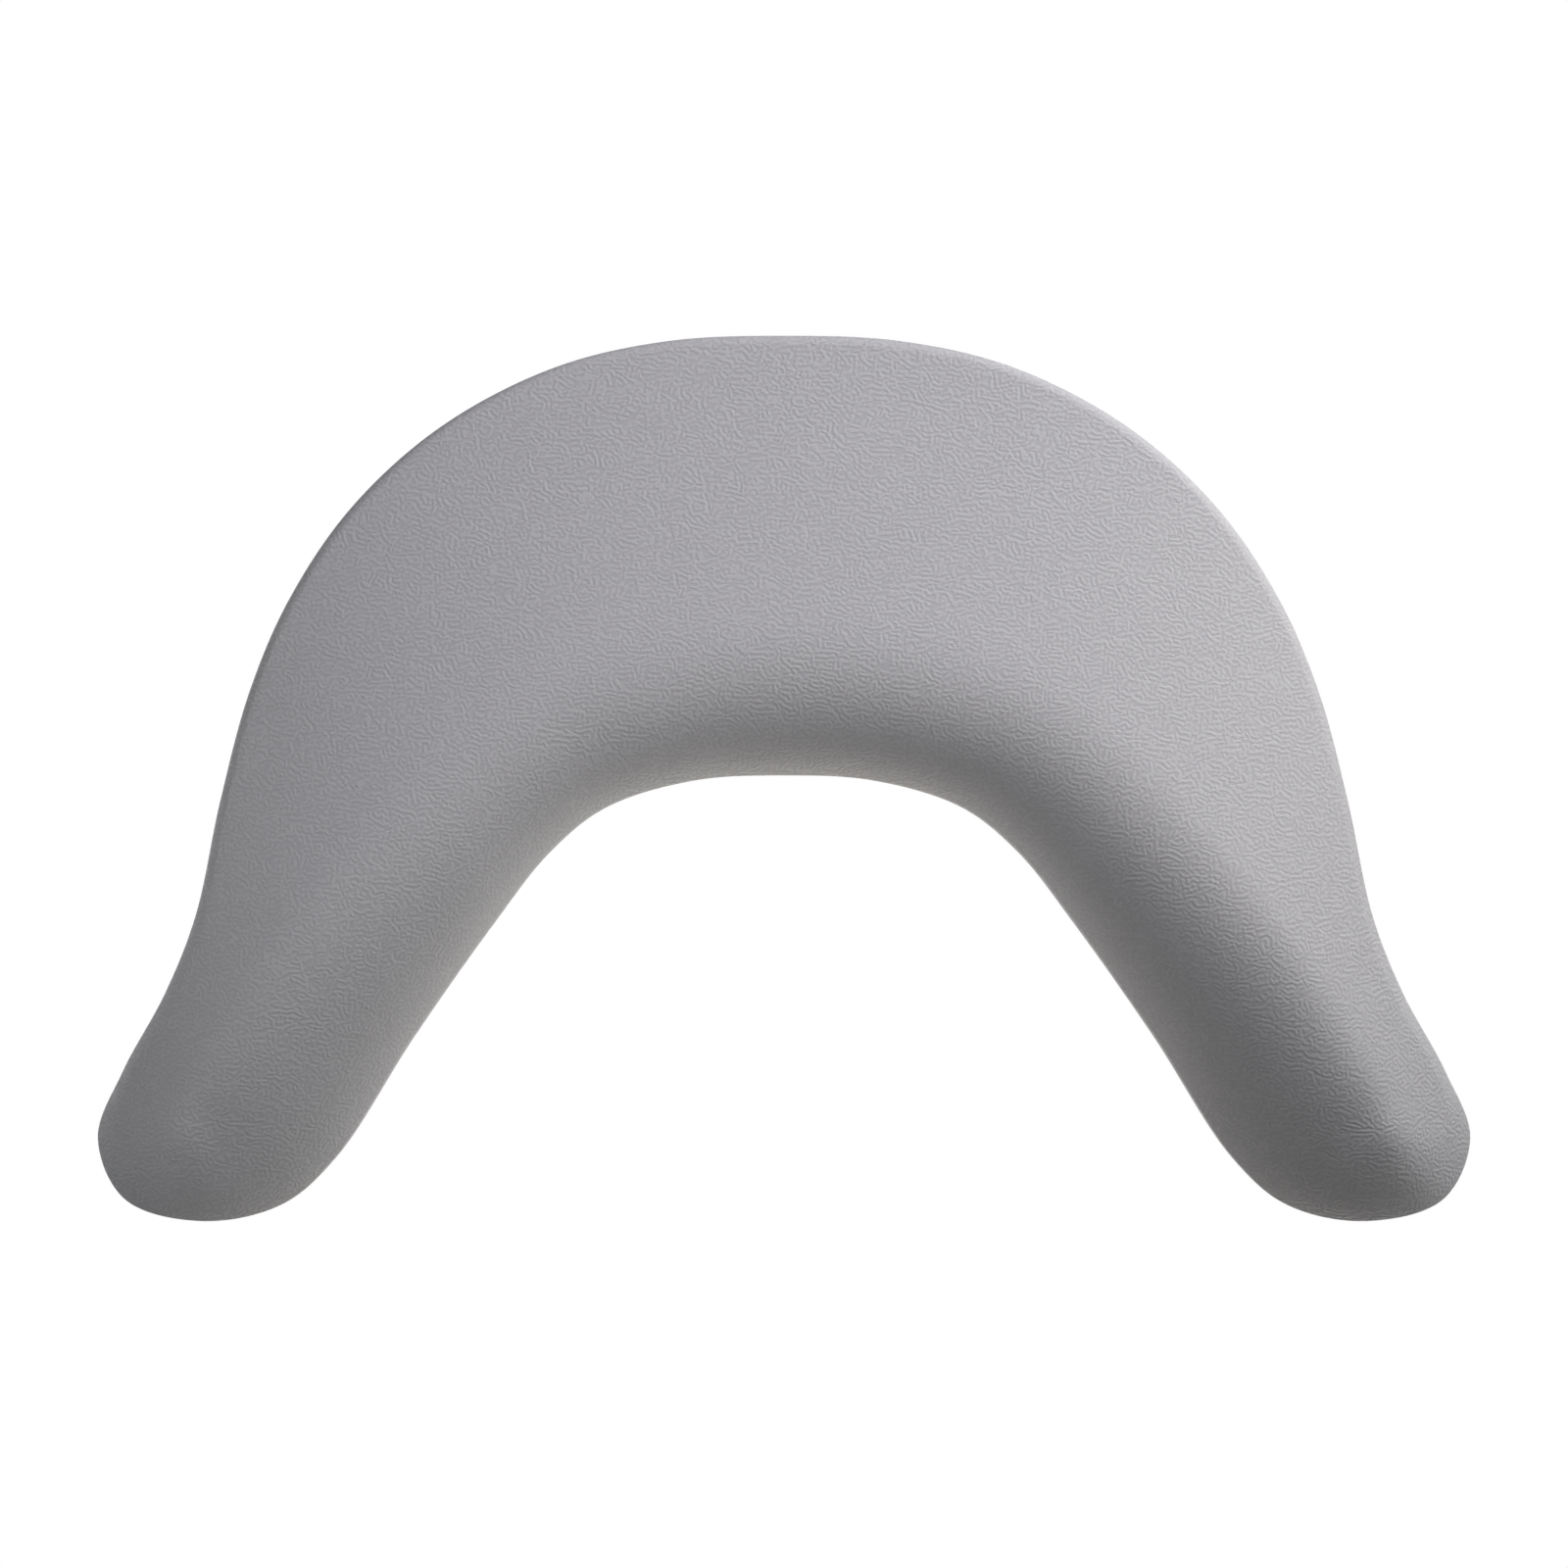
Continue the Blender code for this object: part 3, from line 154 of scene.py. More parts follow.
def coated_material(name, colour, worn, rough, metallic, grain, height):
    """A moulded, cast, coated or plated finish: mottled between two roughnesses, and worn to another colour
    in scuffs. Its fine texture has this grain size and height in metres."""
    material, tree, shader = new_material(name)
    place = put(tree, "ShaderNodeTexCoord")
    texture = put(
        tree,
        "ShaderNodeGroup",
        {"Vector": place.outputs["Object"], "Grain Size": grain},
        node_tree=surface_texture,
    )
    shade = tuple(c * 0.86 for c in colour[:3]) + (1,)
    mottled = blend_colours(tree, texture.outputs["Mottle"], shade, colour)
    scuffed = blend_colours(tree, texture.outputs["Scuffs"], mottled, worn)
    roughness = graded_value(tree, texture.outputs["Mottle"], *rough)
    feed_shader(tree, shader, scuffed, roughness, texture.outputs["Height"], height)
    shader.inputs["Metallic"].default_value = metallic
    shader.inputs["Specular IOR Level"].default_value = 0.3
    return material


def dress(material, *names):
    """Gives CAD pieces a finish."""
    for name in names:
        for slot in nodes[name].material_slots:
            slot.material = material


def piece(name, bm, material, body, node, crease=20):
    """A finished piece that moves with its CAD body and stands for a CAD node. Its edges look sharp where
    they turn by more than the crease angle."""
    bmesh.ops.remove_doubles(bm, verts=bm.verts, dist=1e-7)
    bmesh.ops.recalc_face_normals(bm, faces=bm.faces)
    mesh = bpy.data.meshes.new(name)
    bm.to_mesh(mesh)
    bm.free()
    mesh.shade_smooth()
    mesh.set_sharp_from_angle(angle=math.radians(crease))
    mesh.materials.append(material)
    made = bpy.data.objects.new(name, mesh)
    bpy.context.scene.collection.objects.link(made)
    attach(made, body)
    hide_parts(node)
    return made


def eased(node, width, steps=2):
    """The shape of a CAD piece with its sharp edges rounded."""
    bm = bmesh.new()
    bm.from_mesh(nodes[node].data)
    bmesh.ops.remove_doubles(bm, verts=bm.verts, dist=2e-6)
    flat = math.radians(1.5)
    bmesh.ops.dissolve_limit(bm, angle_limit=flat, verts=bm.verts, edges=bm.edges)
    corner = math.radians(30)
    sharp = [edge for edge in bm.edges if edge.is_manifold and edge.calc_face_angle() > corner]
    bmesh.ops.bevel(
        bm, geom=sharp, offset=width, offset_type="OFFSET", affect="EDGES", segments=steps, profile=0.5,
        clamp_overlap=True, material=-1,
    )
    return bm


anodised, tree, shader = new_material("satin_anodised_aluminium")
place = put(tree, "ShaderNodeTexCoord")
along_extrusion = put(tree, "ShaderNodeMapping", {"Vector": place.outputs["Object"], "Scale": (1, 1, 0.012)})
die_lines = put(
    tree, "ShaderNodeTexNoise", {"Vector": along_extrusion.outputs["Vector"], "Scale": 2600.0, "Detail": 3.0}
)
texture = put(
    tree,
    "ShaderNodeGroup",
    {"Vector": place.outputs["Object"], "Grain Size": 0.0003},
    node_tree=surface_texture,
)
lined = blend_colours(tree, die_lines.outputs["Fac"], (0.46, 0.47, 0.49, 1), (0.58, 0.59, 0.61, 1))
scratched = blend_colours(tree, texture.outputs["Scuffs"], lined, (0.66, 0.67, 0.68, 1))
roughness = graded_value(tree, texture.outputs["Mottle"], 0.34, 0.50)
height = put(
    tree, "ShaderNodeMath", {0: texture.outputs["Height"], 1: die_lines.outputs["Fac"]}, operation="ADD"
)
feed_shader(tree, shader, scratched, roughness, height.outputs[0], 0.00001)
shader.inputs["Metallic"].default_value = 1.0
piece("track_extrusion", eased("track", 0.2 * MM), anodised, "track", "track")

# ---------------------------------------------------------------- end stops
# Black nylon blocks that close the channel at both ends, each held by an M4 screw from the front. The screws
# are zinc plated, with domed heads and hexagon sockets.


def loft(bm, loops):
    """Faces between loops of the same number of points."""
    rows = [[bm.verts.new(point) for point in loop] for loop in loops]
    for lower, upper in zip(rows, rows[1:]):
        for i in range(len(lower)):
            bm.faces.new((lower[i - 1], lower[i], upper[i], upper[i - 1]))
    return rows


def ring_at(radius, height, sides=48):
    """A circle of this radius round Z."""
    return [
        Vector((radius * math.cos(math.tau * i / sides), radius * math.sin(math.tau * i / sides), height))
        for i in range(sides)
    ]


def hexagon_at(corner, height, sides=48):
    """A hexagon round Z with this distance to its corners, with evenly turned points along its sides."""
    loop = []
    for i in range(sides):
        turn = math.tau * i / sides
        radius = corner * math.cos(math.pi / 6) / math.cos(turn % (math.pi / 3) - math.pi / 6)
        loop.append(Vector((radius * math.cos(turn), radius * math.sin(turn), height)))
    return loop


# Turns that take a shape's own Z to each of these sides.
TURN_TO = {
    "back": Matrix.Rotation(math.radians(-90), 4, "X"),
    "front": Matrix.Rotation(math.radians(90), 4, "X"),
    "left": Matrix.Rotation(math.radians(-90), 4, "Y"),
    "right": Matrix.Rotation(math.radians(90), 4, "Y"),
}


def socket_screw(place, facing, head, head_height, shank, length):
    """A domed screw whose head's underside is at a place. Head and shank are radii. Its thread is hidden in
    the piece that it goes into."""
    corner = head * 0.42
    deep = head_height * 0.6
    drill_point = 0.3 * MM
    lead_in = 0.25 * MM
    lead_in_depth = 0.2 * MM
    crown = head * 0.62
    dome = head_height * 0.8
    underside = 0.1 * MM
    loops = [ring_at(0, head_height - deep - drill_point), hexagon_at(corner, head_height - deep)]
    loops.append(hexagon_at(corner, head_height - lead_in_depth))
    loops.append(ring_at(corner + lead_in, head_height))
    for degrees in range(90, -1, -10):
        turn = math.radians(degrees)
        radius = crown + (head - crown) * math.cos(turn)
        loops.append(ring_at(radius, head_height - dome * (1 - math.sin(turn))))
    loops += [ring_at(head, underside), ring_at(head - underside, 0)]
    loops += [ring_at(shank, 0), ring_at(shank, -length), ring_at(0, -length)]
    bm = bmesh.new()
    loft(bm, loops)
    bmesh.ops.transform(bm, matrix=Matrix.Translation(place) @ TURN_TO[facing], verts=bm.verts)
    return bm


black_nylon = coated_material(
    "black_glass_filled_nylon", colour=(0.030, 0.030, 0.032, 1), worn=(0.055, 0.055, 0.055, 1),
    rough=(0.42, 0.62), metallic=0.0, grain=0.00035, height=0.00002,
)
zinc_plate = coated_material(
    "zinc_plated_steel", colour=(0.66, 0.67, 0.68, 1), worn=(0.50, 0.50, 0.50, 1),
    rough=(0.24, 0.40), metallic=1.0, grain=0.00025, height=0.000008,
)


def fit_screw(node, facing, body, head, head_height, shank, length):
    """A zinc-plated screw in place of a CAD one."""
    low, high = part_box(node)
    place = (low + high) / 2
    place.y = low.y + head_height if facing == "front" else high.y - head_height
    shape = socket_screw(place, facing, head, head_height, shank, length)
    piece(f"domed_{node}", shape, zinc_plate, body, node)


for level in ("top", "bottom"):
    stop = f"end_stop_{level}"
    piece(f"nylon_stop_{level}", eased(stop, 0.15 * MM), black_nylon, "track", stop)
    fit_screw(
        f"stop_screw_{level}", "front", "track",
        head=3.5 * MM, head_height=2.2 * MM, shank=2 * MM, length=11 * MM,
    )

# ---------------------------------------------------------------- carriage
# A zinc die casting, powder coated black, that slides in the channel on two acetal glides. A sprung shoe
# presses on the track's web and holds the height. Two bushes in the barrel carry the tilt axle, and friction
# discs run on the barrel's ends.


def spun(points, place, facing, steps=72):
    """A closed profile of (radius, height), turned round an axis that starts at a place and faces a side."""
    bm = bmesh.new()
    verts = [bm.verts.new((radius, 0, height)) for radius, height in points]
    edges = [bm.edges.new(pair) for pair in zip(verts, verts[1:])]
    if points[0][0] > 0:
        edges.append(bm.edges.new((verts[-1], verts[0])))
    bmesh.ops.spin(
        bm, geom=verts + edges, cent=(0, 0, 0), axis=(0, 0, 1), dvec=(0, 0, 0), angle=math.tau, steps=steps,
        use_merge=True, use_duplicate=False,
    )
    bmesh.ops.transform(bm, matrix=Matrix.Translation(place) @ TURN_TO[facing], verts=bm.verts)
    return bm


def filleted(corners, radii, steps=5):
    """A polygon's corners, each turned into an arc of its radius, or left sharp where that is 0."""
    points = []
    for i, (corner, radius) in enumerate(zip(corners, radii)):
        if radius == 0:
            points.append(tuple(corner))
            continue
        here = Vector(corner)
        to_last = (Vector(corners[i - 1]) - here).normalized()
        to_next = (Vector(corners[(i + 1) % len(corners)]) - here).normalized()
        half = to_last.angle(to_next) / 2
        start = here + to_last * radius / math.tan(half)
        end = here + to_next * radius / math.tan(half)
        centre = here + (to_last + to_next).normalized() * radius / math.sin(half)
        for step in range(steps + 1):
            blend = start.lerp(end, step / steps)
            points.append(tuple(centre + (blend - centre).normalized() * radius))
    return points


AXLE_HOLE = 4.1 * MM
axle_low, axle_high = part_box("friction_disc_left")
axle = (axle_low + axle_high) / 2


def round_size(node):
    """A round piece on the tilt axle: its ends along X, its radius and its thickness."""
    low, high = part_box(node)
    return low.x, high.x, (high.z - low.z) / 2, high.x - low.x


def flat_ring(node, edge_round):
    """A disc on the axle in place of a CAD one, with its outer edges rounded."""
    left, _, radius, thick = round_size(node)
    outline = [(AXLE_HOLE, 0), (radius, 0), (radius, thick), (AXLE_HOLE, thick)]
    return spun(filleted(outline, [0, edge_round, edge_round, 0]), (left, axle.y, axle.z), "right")


coated_casting = coated_material(
    "black_coated_casting", colour=(0.045, 0.045, 0.048, 1), worn=(0.16, 0.16, 0.165, 1),
    rough=(0.40, 0.60), metallic=0.0, grain=0.0007, height=0.00003,
)
acetal = coated_material(
    "white_acetal", colour=(0.80, 0.80, 0.78, 1), worn=(0.66, 0.65, 0.62, 1),
    rough=(0.30, 0.45), metallic=0.0, grain=0.0006, height=0.00001,
)
friction = coated_material(
    "brown_friction_composite", colour=(0.21, 0.14, 0.085, 1), worn=(0.34, 0.25, 0.16, 1),
    rough=(0.62, 0.85), metallic=0.0, grain=0.0004, height=0.00004,
)
spring_steel = coated_material(
    "oiled_spring_steel", colour=(0.35, 0.35, 0.37, 1), worn=(0.5, 0.5, 0.5, 1),
    rough=(0.28, 0.42), metallic=1.0, grain=0.0003, height=0.000008,
)
shape = eased("carriage", 0.5 * MM, 3)
piece("cast_carriage", shape, coated_casting, "carriage", "carriage")
for side in ("left", "right"):
    glide = f"glide_{side}"
    piece(f"acetal_glide_{side}", eased(glide, 0.2 * MM), acetal, "carriage", glide)
    disc = f"friction_disc_{side}"
    shape = flat_ring(disc, 0.15 * MM)
    piece(f"pressed_disc_{side}", shape, friction, "carriage", disc)
dress(acetal, "axle_bush_left", "axle_bush_right")
dress(friction, "friction_shoe")
dress(spring_steel, "shoe_spring")

# ---------------------------------------------------------------- tilt hinge
# Two folded steel brackets, powder coated black, turn on an M8 bolt through the carriage's barrel. Disc
# springs keep the friction discs pressed together, and plastic caps cover the bolt's head and nut.

CAP_WALL = 1.3 * MM
CAP_ROUND = 1.6 * MM
CAP_INSIDE_ROUND = 0.5 * MM
CAP_LIP_ROUND = 0.3 * MM
DISH_RISE = 0.6 * MM

coated_steel = coated_material(
    "black_powder_coated_steel", colour=(0.040, 0.040, 0.042, 1), worn=(0.13, 0.13, 0.135, 1),
    rough=(0.46, 0.64), metallic=0.0, grain=0.0008, height=0.00003,
)
for side in ("left", "right"):
    bracket = f"hinge_bracket_{side}"
    piece(f"folded_bracket_{side}", eased(bracket, 0.35 * MM), coated_steel, "pad", bracket)
    washer = f"axle_washer_{side}"
    shape = flat_ring(washer, 0.25 * MM)
    piece(f"round_washer_{side}", shape, zinc_plate, "pad", washer)
    cap = f"axle_cap_{side}"
    left, right, radius, tall = round_size(cap)
    bore = radius - CAP_WALL
    ceiling = tall - CAP_WALL
    outline = [(0, tall), (radius, tall), (radius, 0), (bore, 0), (bore, ceiling), (0, ceiling)]
    radii = [0, CAP_ROUND, CAP_LIP_ROUND, CAP_LIP_ROUND, CAP_INSIDE_ROUND, 0]
    foot = (left if side == "right" else right, axle.y, axle.z)
    shape = spun(filleted(outline, radii), foot, side)
    piece(f"push_on_cap_{side}", shape, black_nylon, "pad", cap)
for number, inner, outer in ((1, DISH_RISE, 0), (2, 0, DISH_RISE)):
    spring = f"disc_spring_{number}"
    left, _, radius, tall = round_size(spring)
    thick = tall - DISH_RISE
    outline = [(AXLE_HOLE, inner), (radius, outer), (radius, outer + thick), (AXLE_HOLE, inner + thick)]
    shape = spun(filleted(outline, [0.1 * MM] * 4, 3), (left, axle.y, axle.z), "right")
    piece(f"dished_spring_{number}", shape, spring_steel, "pad", spring)
dress(zinc_plate, "axle_bolt", "axle_nut")

# ---------------------------------------------------------------- carrier
# A ribbed tray of glass-filled nylon, moulded into the back of the foam, with brass inserts for the screws
# of the hinge brackets. Foam and cover hide it, so it keeps its plain shape.

brass = coated_material(
    "turned_brass", colour=(0.72, 0.55, 0.25, 1), worn=(0.8, 0.66, 0.38, 1),
    rough=(0.28, 0.42), metallic=1.0, grain=0.0003, height=0.000008,
)
dress(black_nylon, "carrier")
for side in ("left", "right"):
    for level in ("upper", "lower"):
        dress(brass, f"brass_insert_{side}_{level}")

# ---------------------------------------------------------------- foam pad
# One moulding of grey polyurethane foam with its own skin, cast round the carrier. The mould's walls are
# etched with a fine leather grain, and trapped air leaves a few pinholes. It holds its form by itself, so it
# is lofted from the mould's sections.

# The right half of the outline in mm, as (x, z): down the outside, round the tip and up the neck's side.
OUTER_EDGE = [
    (0, 52.3), (28, 51), (54.5, 44.8), (81.5, 30.8), (103, 11.5), (118, -10.5),
    (127.5, -32.5), (134.5, -58.5), (140.5, -86), (148, -104.5), (158.7, -123.5),
]
TIP_EDGE = [(165, -139.5), (158.5, -154), (140, -159.2), (121, -155.5)]
NECK_EDGE = [(108, -144.3), (89, -115), (70, -88), (56.5, -70.8), (43, -60), (22, -53.5), (0, -52.2)]
EDGE_STATIONS = 120
TIP_STATIONS = 60
ROLL_STEPS = 24
FACE_STEPS = 14

# The depth of the face at its top, and what the way down, the way aside and both together add to it.
FACE_TOP_DEPTH = 44.0 * MM
FACE_TOP_HEIGHT = 50 * MM
PAD_HALF_WIDTH = 165 * MM
PAD_HEIGHT = 211.5 * MM
FACE_DROP = [20.3 * MM, 46.5 * MM, -9.5 * MM]
FACE_ASIDE = [-1.1 * MM, -22.2 * MM]
FACE_CORNER = [-30.5 * MM, -35.3 * MM]
EDGE_ROUND = 2.5 * MM

# The roll into the neck edge, from the arch to the tips: its width in mm, the power of its curve, the share
# of the curve that the neck edge cuts off, and its end's depth in mm. Then how it grows round a tip.
ROLL_WIDTHS = [38.1, 38.5, 40.7, 39.2]
ROLL_SQUARENESS = [2.26, 2.32, 2.0, 1.61, 1.29]
ROLL_CUTS = [0.09, 0.1, 0.1, 0.1, 0.09]
ROLL_END_DEPTHS = [9.3, 6.0, 9.5]
TIP_WIDTH_SHARES = [0, 0.23, 0.58, 0.88, 1, 1]
TIP_DEPTH_SHARES = [0, 0.17, 0.54, 0.8, 1, 1]

BACK_ROLL = 7 * MM
POCKET_INSET = 13.7 * MM
POCKET_DEPTH = 12.3 * MM
PARTING_DEPTH = 8.6 * MM
PARTING_HALF_WIDTH = 0.45 * MM
PARTING_RISE = 0.15 * MM

# The front of each leg is evened out within this reach, which grows from nothing along the leg and shrinks
# near the edge. The first rows of the roll stay as they are.
LEG_START = 0.5
ROLL_ROWS_KEPT = 4
EVEN_REACH = 7.5 * MM
EVEN_START = 0.66
EVEN_GROWTH = 0.26
EVEN_MARGIN = 4 * MM
EVEN_SHARE = 0.8
LEAST_REACH = 1.5 * MM
LEAST_NEIGHBOURS = 14
pad_back_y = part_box("foam_pad")[1].y


def through(points, pieces):
    """A smooth curve through the points, with so many pieces between each two."""
    curve = []
    for four in zip(points, points[1:], points[2:], points[3:]):
        marks = [0]
        for a, b in zip(four, four[1:]):
            marks.append(marks[-1] + math.sqrt((b - a).length))
        for i in range(pieces):
            at = marks[1] + (marks[2] - marks[1]) * i / pieces
            blends = list(four)
            for runs in (((0, 1), (1, 2), (2, 3)), ((0, 2), (1, 3)), ((1, 2),)):
                blends = [
                    blends[k].lerp(blends[k + 1], (at - marks[first]) / (marks[last] - marks[first]))
                    for k, (first, last) in enumerate(runs)
                ]
            curve.append(blends[0])
    curve.append(points[-2].copy())
    return curve


def evenly(curve, count):
    """The curve's points, spaced evenly along it in this many steps."""
    lengths = [0.0]
    for a, b in zip(curve, curve[1:]):
        lengths.append(lengths[-1] + (b - a).length)
    spaced = []
    place = 0
    for step in range(count + 1):
        wanted = lengths[-1] * step / count
        while place < len(curve) - 2 and lengths[place + 1] < wanted:
            place += 1
        share = (wanted - lengths[place]) / (lengths[place + 1] - lengths[place])
        spaced.append(curve[place].lerp(curve[place + 1], share))
    return spaced


def ease(share):
    return share * share * (3 - 2 * share)


def graded(values, share):
    """A smooth run through evenly spaced values, at a share of its length."""
    at = share * (len(values) - 1)
    low = min(int(at), len(values) - 2)
    rest = at - low
    start = values[low]
    end = values[low + 1]
    leave = (end - values[max(low - 1, 0)]) / 2
    arrive = (values[min(low + 2, len(values) - 1)] - start) / 2
    bend = rest * (1 - rest)
    return start + (end - start) * ease(rest) + bend * (leave * (1 - rest) - arrive * rest)


def pad_stations(edge_steps, tip_steps):
    """Round the pad's outline: (edge, point of the ridge, of the middle line, place along, roll's shares)."""
    fine = 24
    control = [Vector(p) * MM for p in OUTER_EDGE + TIP_EDGE + NECK_EDGE]
    before = Vector((-control[1].x, control[1].y))
    after = Vector((-control[-2].x, control[-2].y))
    curve = through([before, *control, after], fine)
    tip_start = (len(OUTER_EDGE) - 1) * fine
    tip_end = (len(OUTER_EDGE) + len(TIP_EDGE)) * fine
    outer = evenly(curve[: tip_start + 1], edge_steps)
    tip = evenly(curve[tip_start : tip_end + 1], tip_steps)
    neck = list(reversed(evenly(curve[tip_end:], edge_steps)))
    middle = [(a + b) / 2 for a, b in zip(outer, neck)]
    ridge = []
    for i, (a, b) in enumerate(zip(outer, neck)):
        ridge.append(b + (a - b).normalized() * graded(ROLL_WIDTHS, i / edge_steps) * MM)
    right = []
    for i, edge in enumerate(outer):
        right.append((edge, ridge[i], middle[i], i / edge_steps, (0.0, 0.0)))
    for i, edge in enumerate(tip[1:-1], start=1):
        shares = (graded(TIP_WIDTH_SHARES, i / tip_steps), graded(TIP_DEPTH_SHARES, i / tip_steps))
        right.append((edge, ridge[-1], middle[-1], 1.0, shares))
    for i in range(edge_steps, -1, -1):
        right.append((neck[i], ridge[i], middle[i], i / edge_steps, (1.0, 1.0)))
    left = []
    for edge, top, centre, along, shares in reversed(right[1:-1]):
        flipped = [Vector((-p.x, p.y)) for p in (edge, top, centre)]
        left.append((*flipped, along, shares))
    return right + left


def inset_loop(stations, inset, depth):
    """The outline moved in by this distance, so far in front of the pad's back plane."""
    loop = []
    for i, (edge, _, middle, _, _) in enumerate(stations):
        along = stations[(i + 1) % len(stations)][0] - stations[i - 1][0]
        inward = (middle - edge).normalized()
        square_on = abs(along.normalized().cross(inward))
        point = edge + inward * inset / square_on
        loop.append(Vector((point.x, pad_back_y - depth, point.y)))
    return loop


def middle_loop(stations, depth):
    """A loop that is folded together on the middle line of the crescent."""
    return [Vector((middle.x, pad_back_y - depth, middle.y)) for _, _, middle, _, _ in stations]


def face_depth(point):
    """How far the face is in front of the back plane."""
    drop = (FACE_TOP_HEIGHT - point.y) / PAD_HEIGHT
    aside = (point.x / PAD_HALF_WIDTH) ** 2
    downwards = drop * (FACE_DROP[0] + drop * (FACE_DROP[1] + drop * FACE_DROP[2]))
    sideways = aside * (FACE_ASIDE[0] + aside * FACE_ASIDE[1])
    corner = drop * aside * (FACE_CORNER[0] + drop * FACE_CORNER[1])
    return FACE_TOP_DEPTH + downwards + sideways + corner


def front_loop(stations, angle, over):
    """Up the rounded edge or roll to this angle, then this share of the face towards the ridge. The roll
    meets the neck edge before it is square to the back."""
    loop = []
    for edge, ridge, _, along, (width_share, depth_share) in stations:
        reach = (ridge - edge).length
        width = EDGE_ROUND + (reach - EDGE_ROUND) * width_share
        end_depth = graded(ROLL_END_DEPTHS, along) * MM
        height = EDGE_ROUND + (face_depth(edge) - end_depth - EDGE_ROUND) * depth_share
        squareness = graded(ROLL_SQUARENESS, along)
        inward = 1 - abs(math.cos(angle)) ** (2 / squareness) if angle < math.pi / 2 else 1
        cut = graded(ROLL_CUTS, along) * depth_share
        outward = (1 - cut) * (1 - inward)
        fall = 1 - (1 - outward**squareness) ** (1 / squareness)
        point = edge + (ridge - edge).normalized() * (width * inward + (reach - width) * over)
        depth = face_depth(point) - height * fall
        loop.append(Vector((point.x, pad_back_y - depth, point.y)))
    return loop


def between(lower, upper, share):
    return [a.lerp(b, share) for a, b in zip(lower, upper)]


def quarter_round(radius, steps):
    """Points along a rounded edge, flat to wall: how far in from the wall, and how far below the flat."""
    turns = [math.radians(90 - 90 * step / steps) for step in range(steps + 1)]
    return [(radius * (1 - math.cos(turn)), radius * (1 - math.sin(turn))) for turn in turns]


pad_outline = pad_stations(EDGE_STATIONS, TIP_STATIONS)
pad_loops = [middle_loop(pad_outline, POCKET_DEPTH)]
pad_loops.append(inset_loop(pad_outline, POCKET_INSET, POCKET_DEPTH))
pad_loops.append(inset_loop(pad_outline, POCKET_INSET, 0))
for inset, depth in quarter_round(BACK_ROLL, 6):
    pad_loops.append(inset_loop(pad_outline, inset, depth))
for side, rise in ((-1, 0), (-0.5, PARTING_RISE), (0.5, PARTING_RISE), (1, 0)):
    pad_loops.append(inset_loop(pad_outline, -rise, PARTING_DEPTH + side * PARTING_HALF_WIDTH))
wall_start = pad_loops[-1]
roll_start = front_loop(pad_outline, 0, 0)
for step in (1, 2, 3):
    pad_loops.append(between(wall_start, roll_start, step / 4))
front_start = len(pad_loops)
for step in range(ROLL_STEPS + 1):
    pad_loops.append(front_loop(pad_outline, math.pi / 2 * step / ROLL_STEPS, 0))
for step in range(1, FACE_STEPS + 1):
    pad_loops.append(front_loop(pad_outline, math.pi / 2, step / FACE_STEPS))

# The front of the legs: each vertex with its place along the leg and its distance from the edge.
bm = bmesh.new()
pad_rows = loft(bm, pad_loops)
front = {}
for row in pad_rows[front_start + ROLL_ROWS_KEPT :]:
    for vert, (edge, _, _, along, _) in zip(row, pad_outline):
        if along > LEG_START:
            front[vert] = (along, (Vector((vert.co.x, vert.co.z)) - edge).length)
bmesh.ops.remove_doubles(bm, verts=bm.verts, dist=1e-6)
front = {vert: where for vert, where in front.items() if vert.is_valid}


def even_depth(vert, reach, near):
    """The depth at a vertex of the plane that fits its surroundings best, weighted by area and nearness."""
    sums = [0.0] * 9
    for other, area in near:
        x = (other.co.x - vert.co.x) / reach
        z = (other.co.z - vert.co.z) / reach
        apart = x * x + z * z
        if apart < 1:
            y = other.co.y
            w = area * (1 - apart) ** 2
            terms = (w, w * x, w * z, w * x * x, w * x * z, w * z * z, w * y, w * x * y, w * z * y)
            sums = [total + term for total, term in zip(sums, terms)]
    n, sx, sz, sxx, sxz, szz, sy, sxy, szy = sums
    fit = Matrix(((n, sx, sz), (sx, sxx, sxz), (sz, sxz, szz)))
    return (fit.inverted() @ Vector((sy, sxy, szy))).x


tree_of_front = KDTree(len(front))
front_list = [(vert, sum(face.calc_area() for face in vert.link_faces)) for vert in front]
for i, (vert, _) in enumerate(front_list):
    tree_of_front.insert((vert.co.x, 0, vert.co.z), i)
tree_of_front.balance()
evened = {}
for vert, (along, inside) in front.items():
    growth = ease(min(max((along - EVEN_START) / EVEN_GROWTH, 0), 1))
    reach = min(EVEN_REACH * growth, (inside - EVEN_MARGIN) * EVEN_SHARE)
    if reach > LEAST_REACH:
        found = tree_of_front.find_range((vert.co.x, 0, vert.co.z), reach)
        if len(found) > LEAST_NEIGHBOURS:
            evened[vert] = even_depth(vert, reach, [front_list[i] for _, i, _ in found])
for vert, depth in evened.items():
    vert.co.y = depth

# The mould's leather grain: short winding ridges about 1.2 mm apart, with a few pinholes between them.
leather_grain, given, made = effect_group(
    "leather_grain",
    [("Vector", "NodeSocketVector", None), ("Pitch", "NodeSocketFloat", 0.0012)],
    ["Height", "Ridges", "Pinholes", "Mottle"],
)
per_metre = put(leather_grain, "ShaderNodeMath", {0: 0.5, 1: given.outputs["Pitch"]}, operation="DIVIDE")
wander = put(
    leather_grain, "ShaderNodeTexNoise", {"Vector": given.outputs["Vector"], "Scale": 260.0, "Detail": 1.0}
)
winding = put(
    leather_grain,
    "ShaderNodeVectorMath",
    {0: wander.outputs["Color"], 1: (0.0009, 0.0009, 0.0009), 2: given.outputs["Vector"]},
    operation="MULTIPLY_ADD",
)
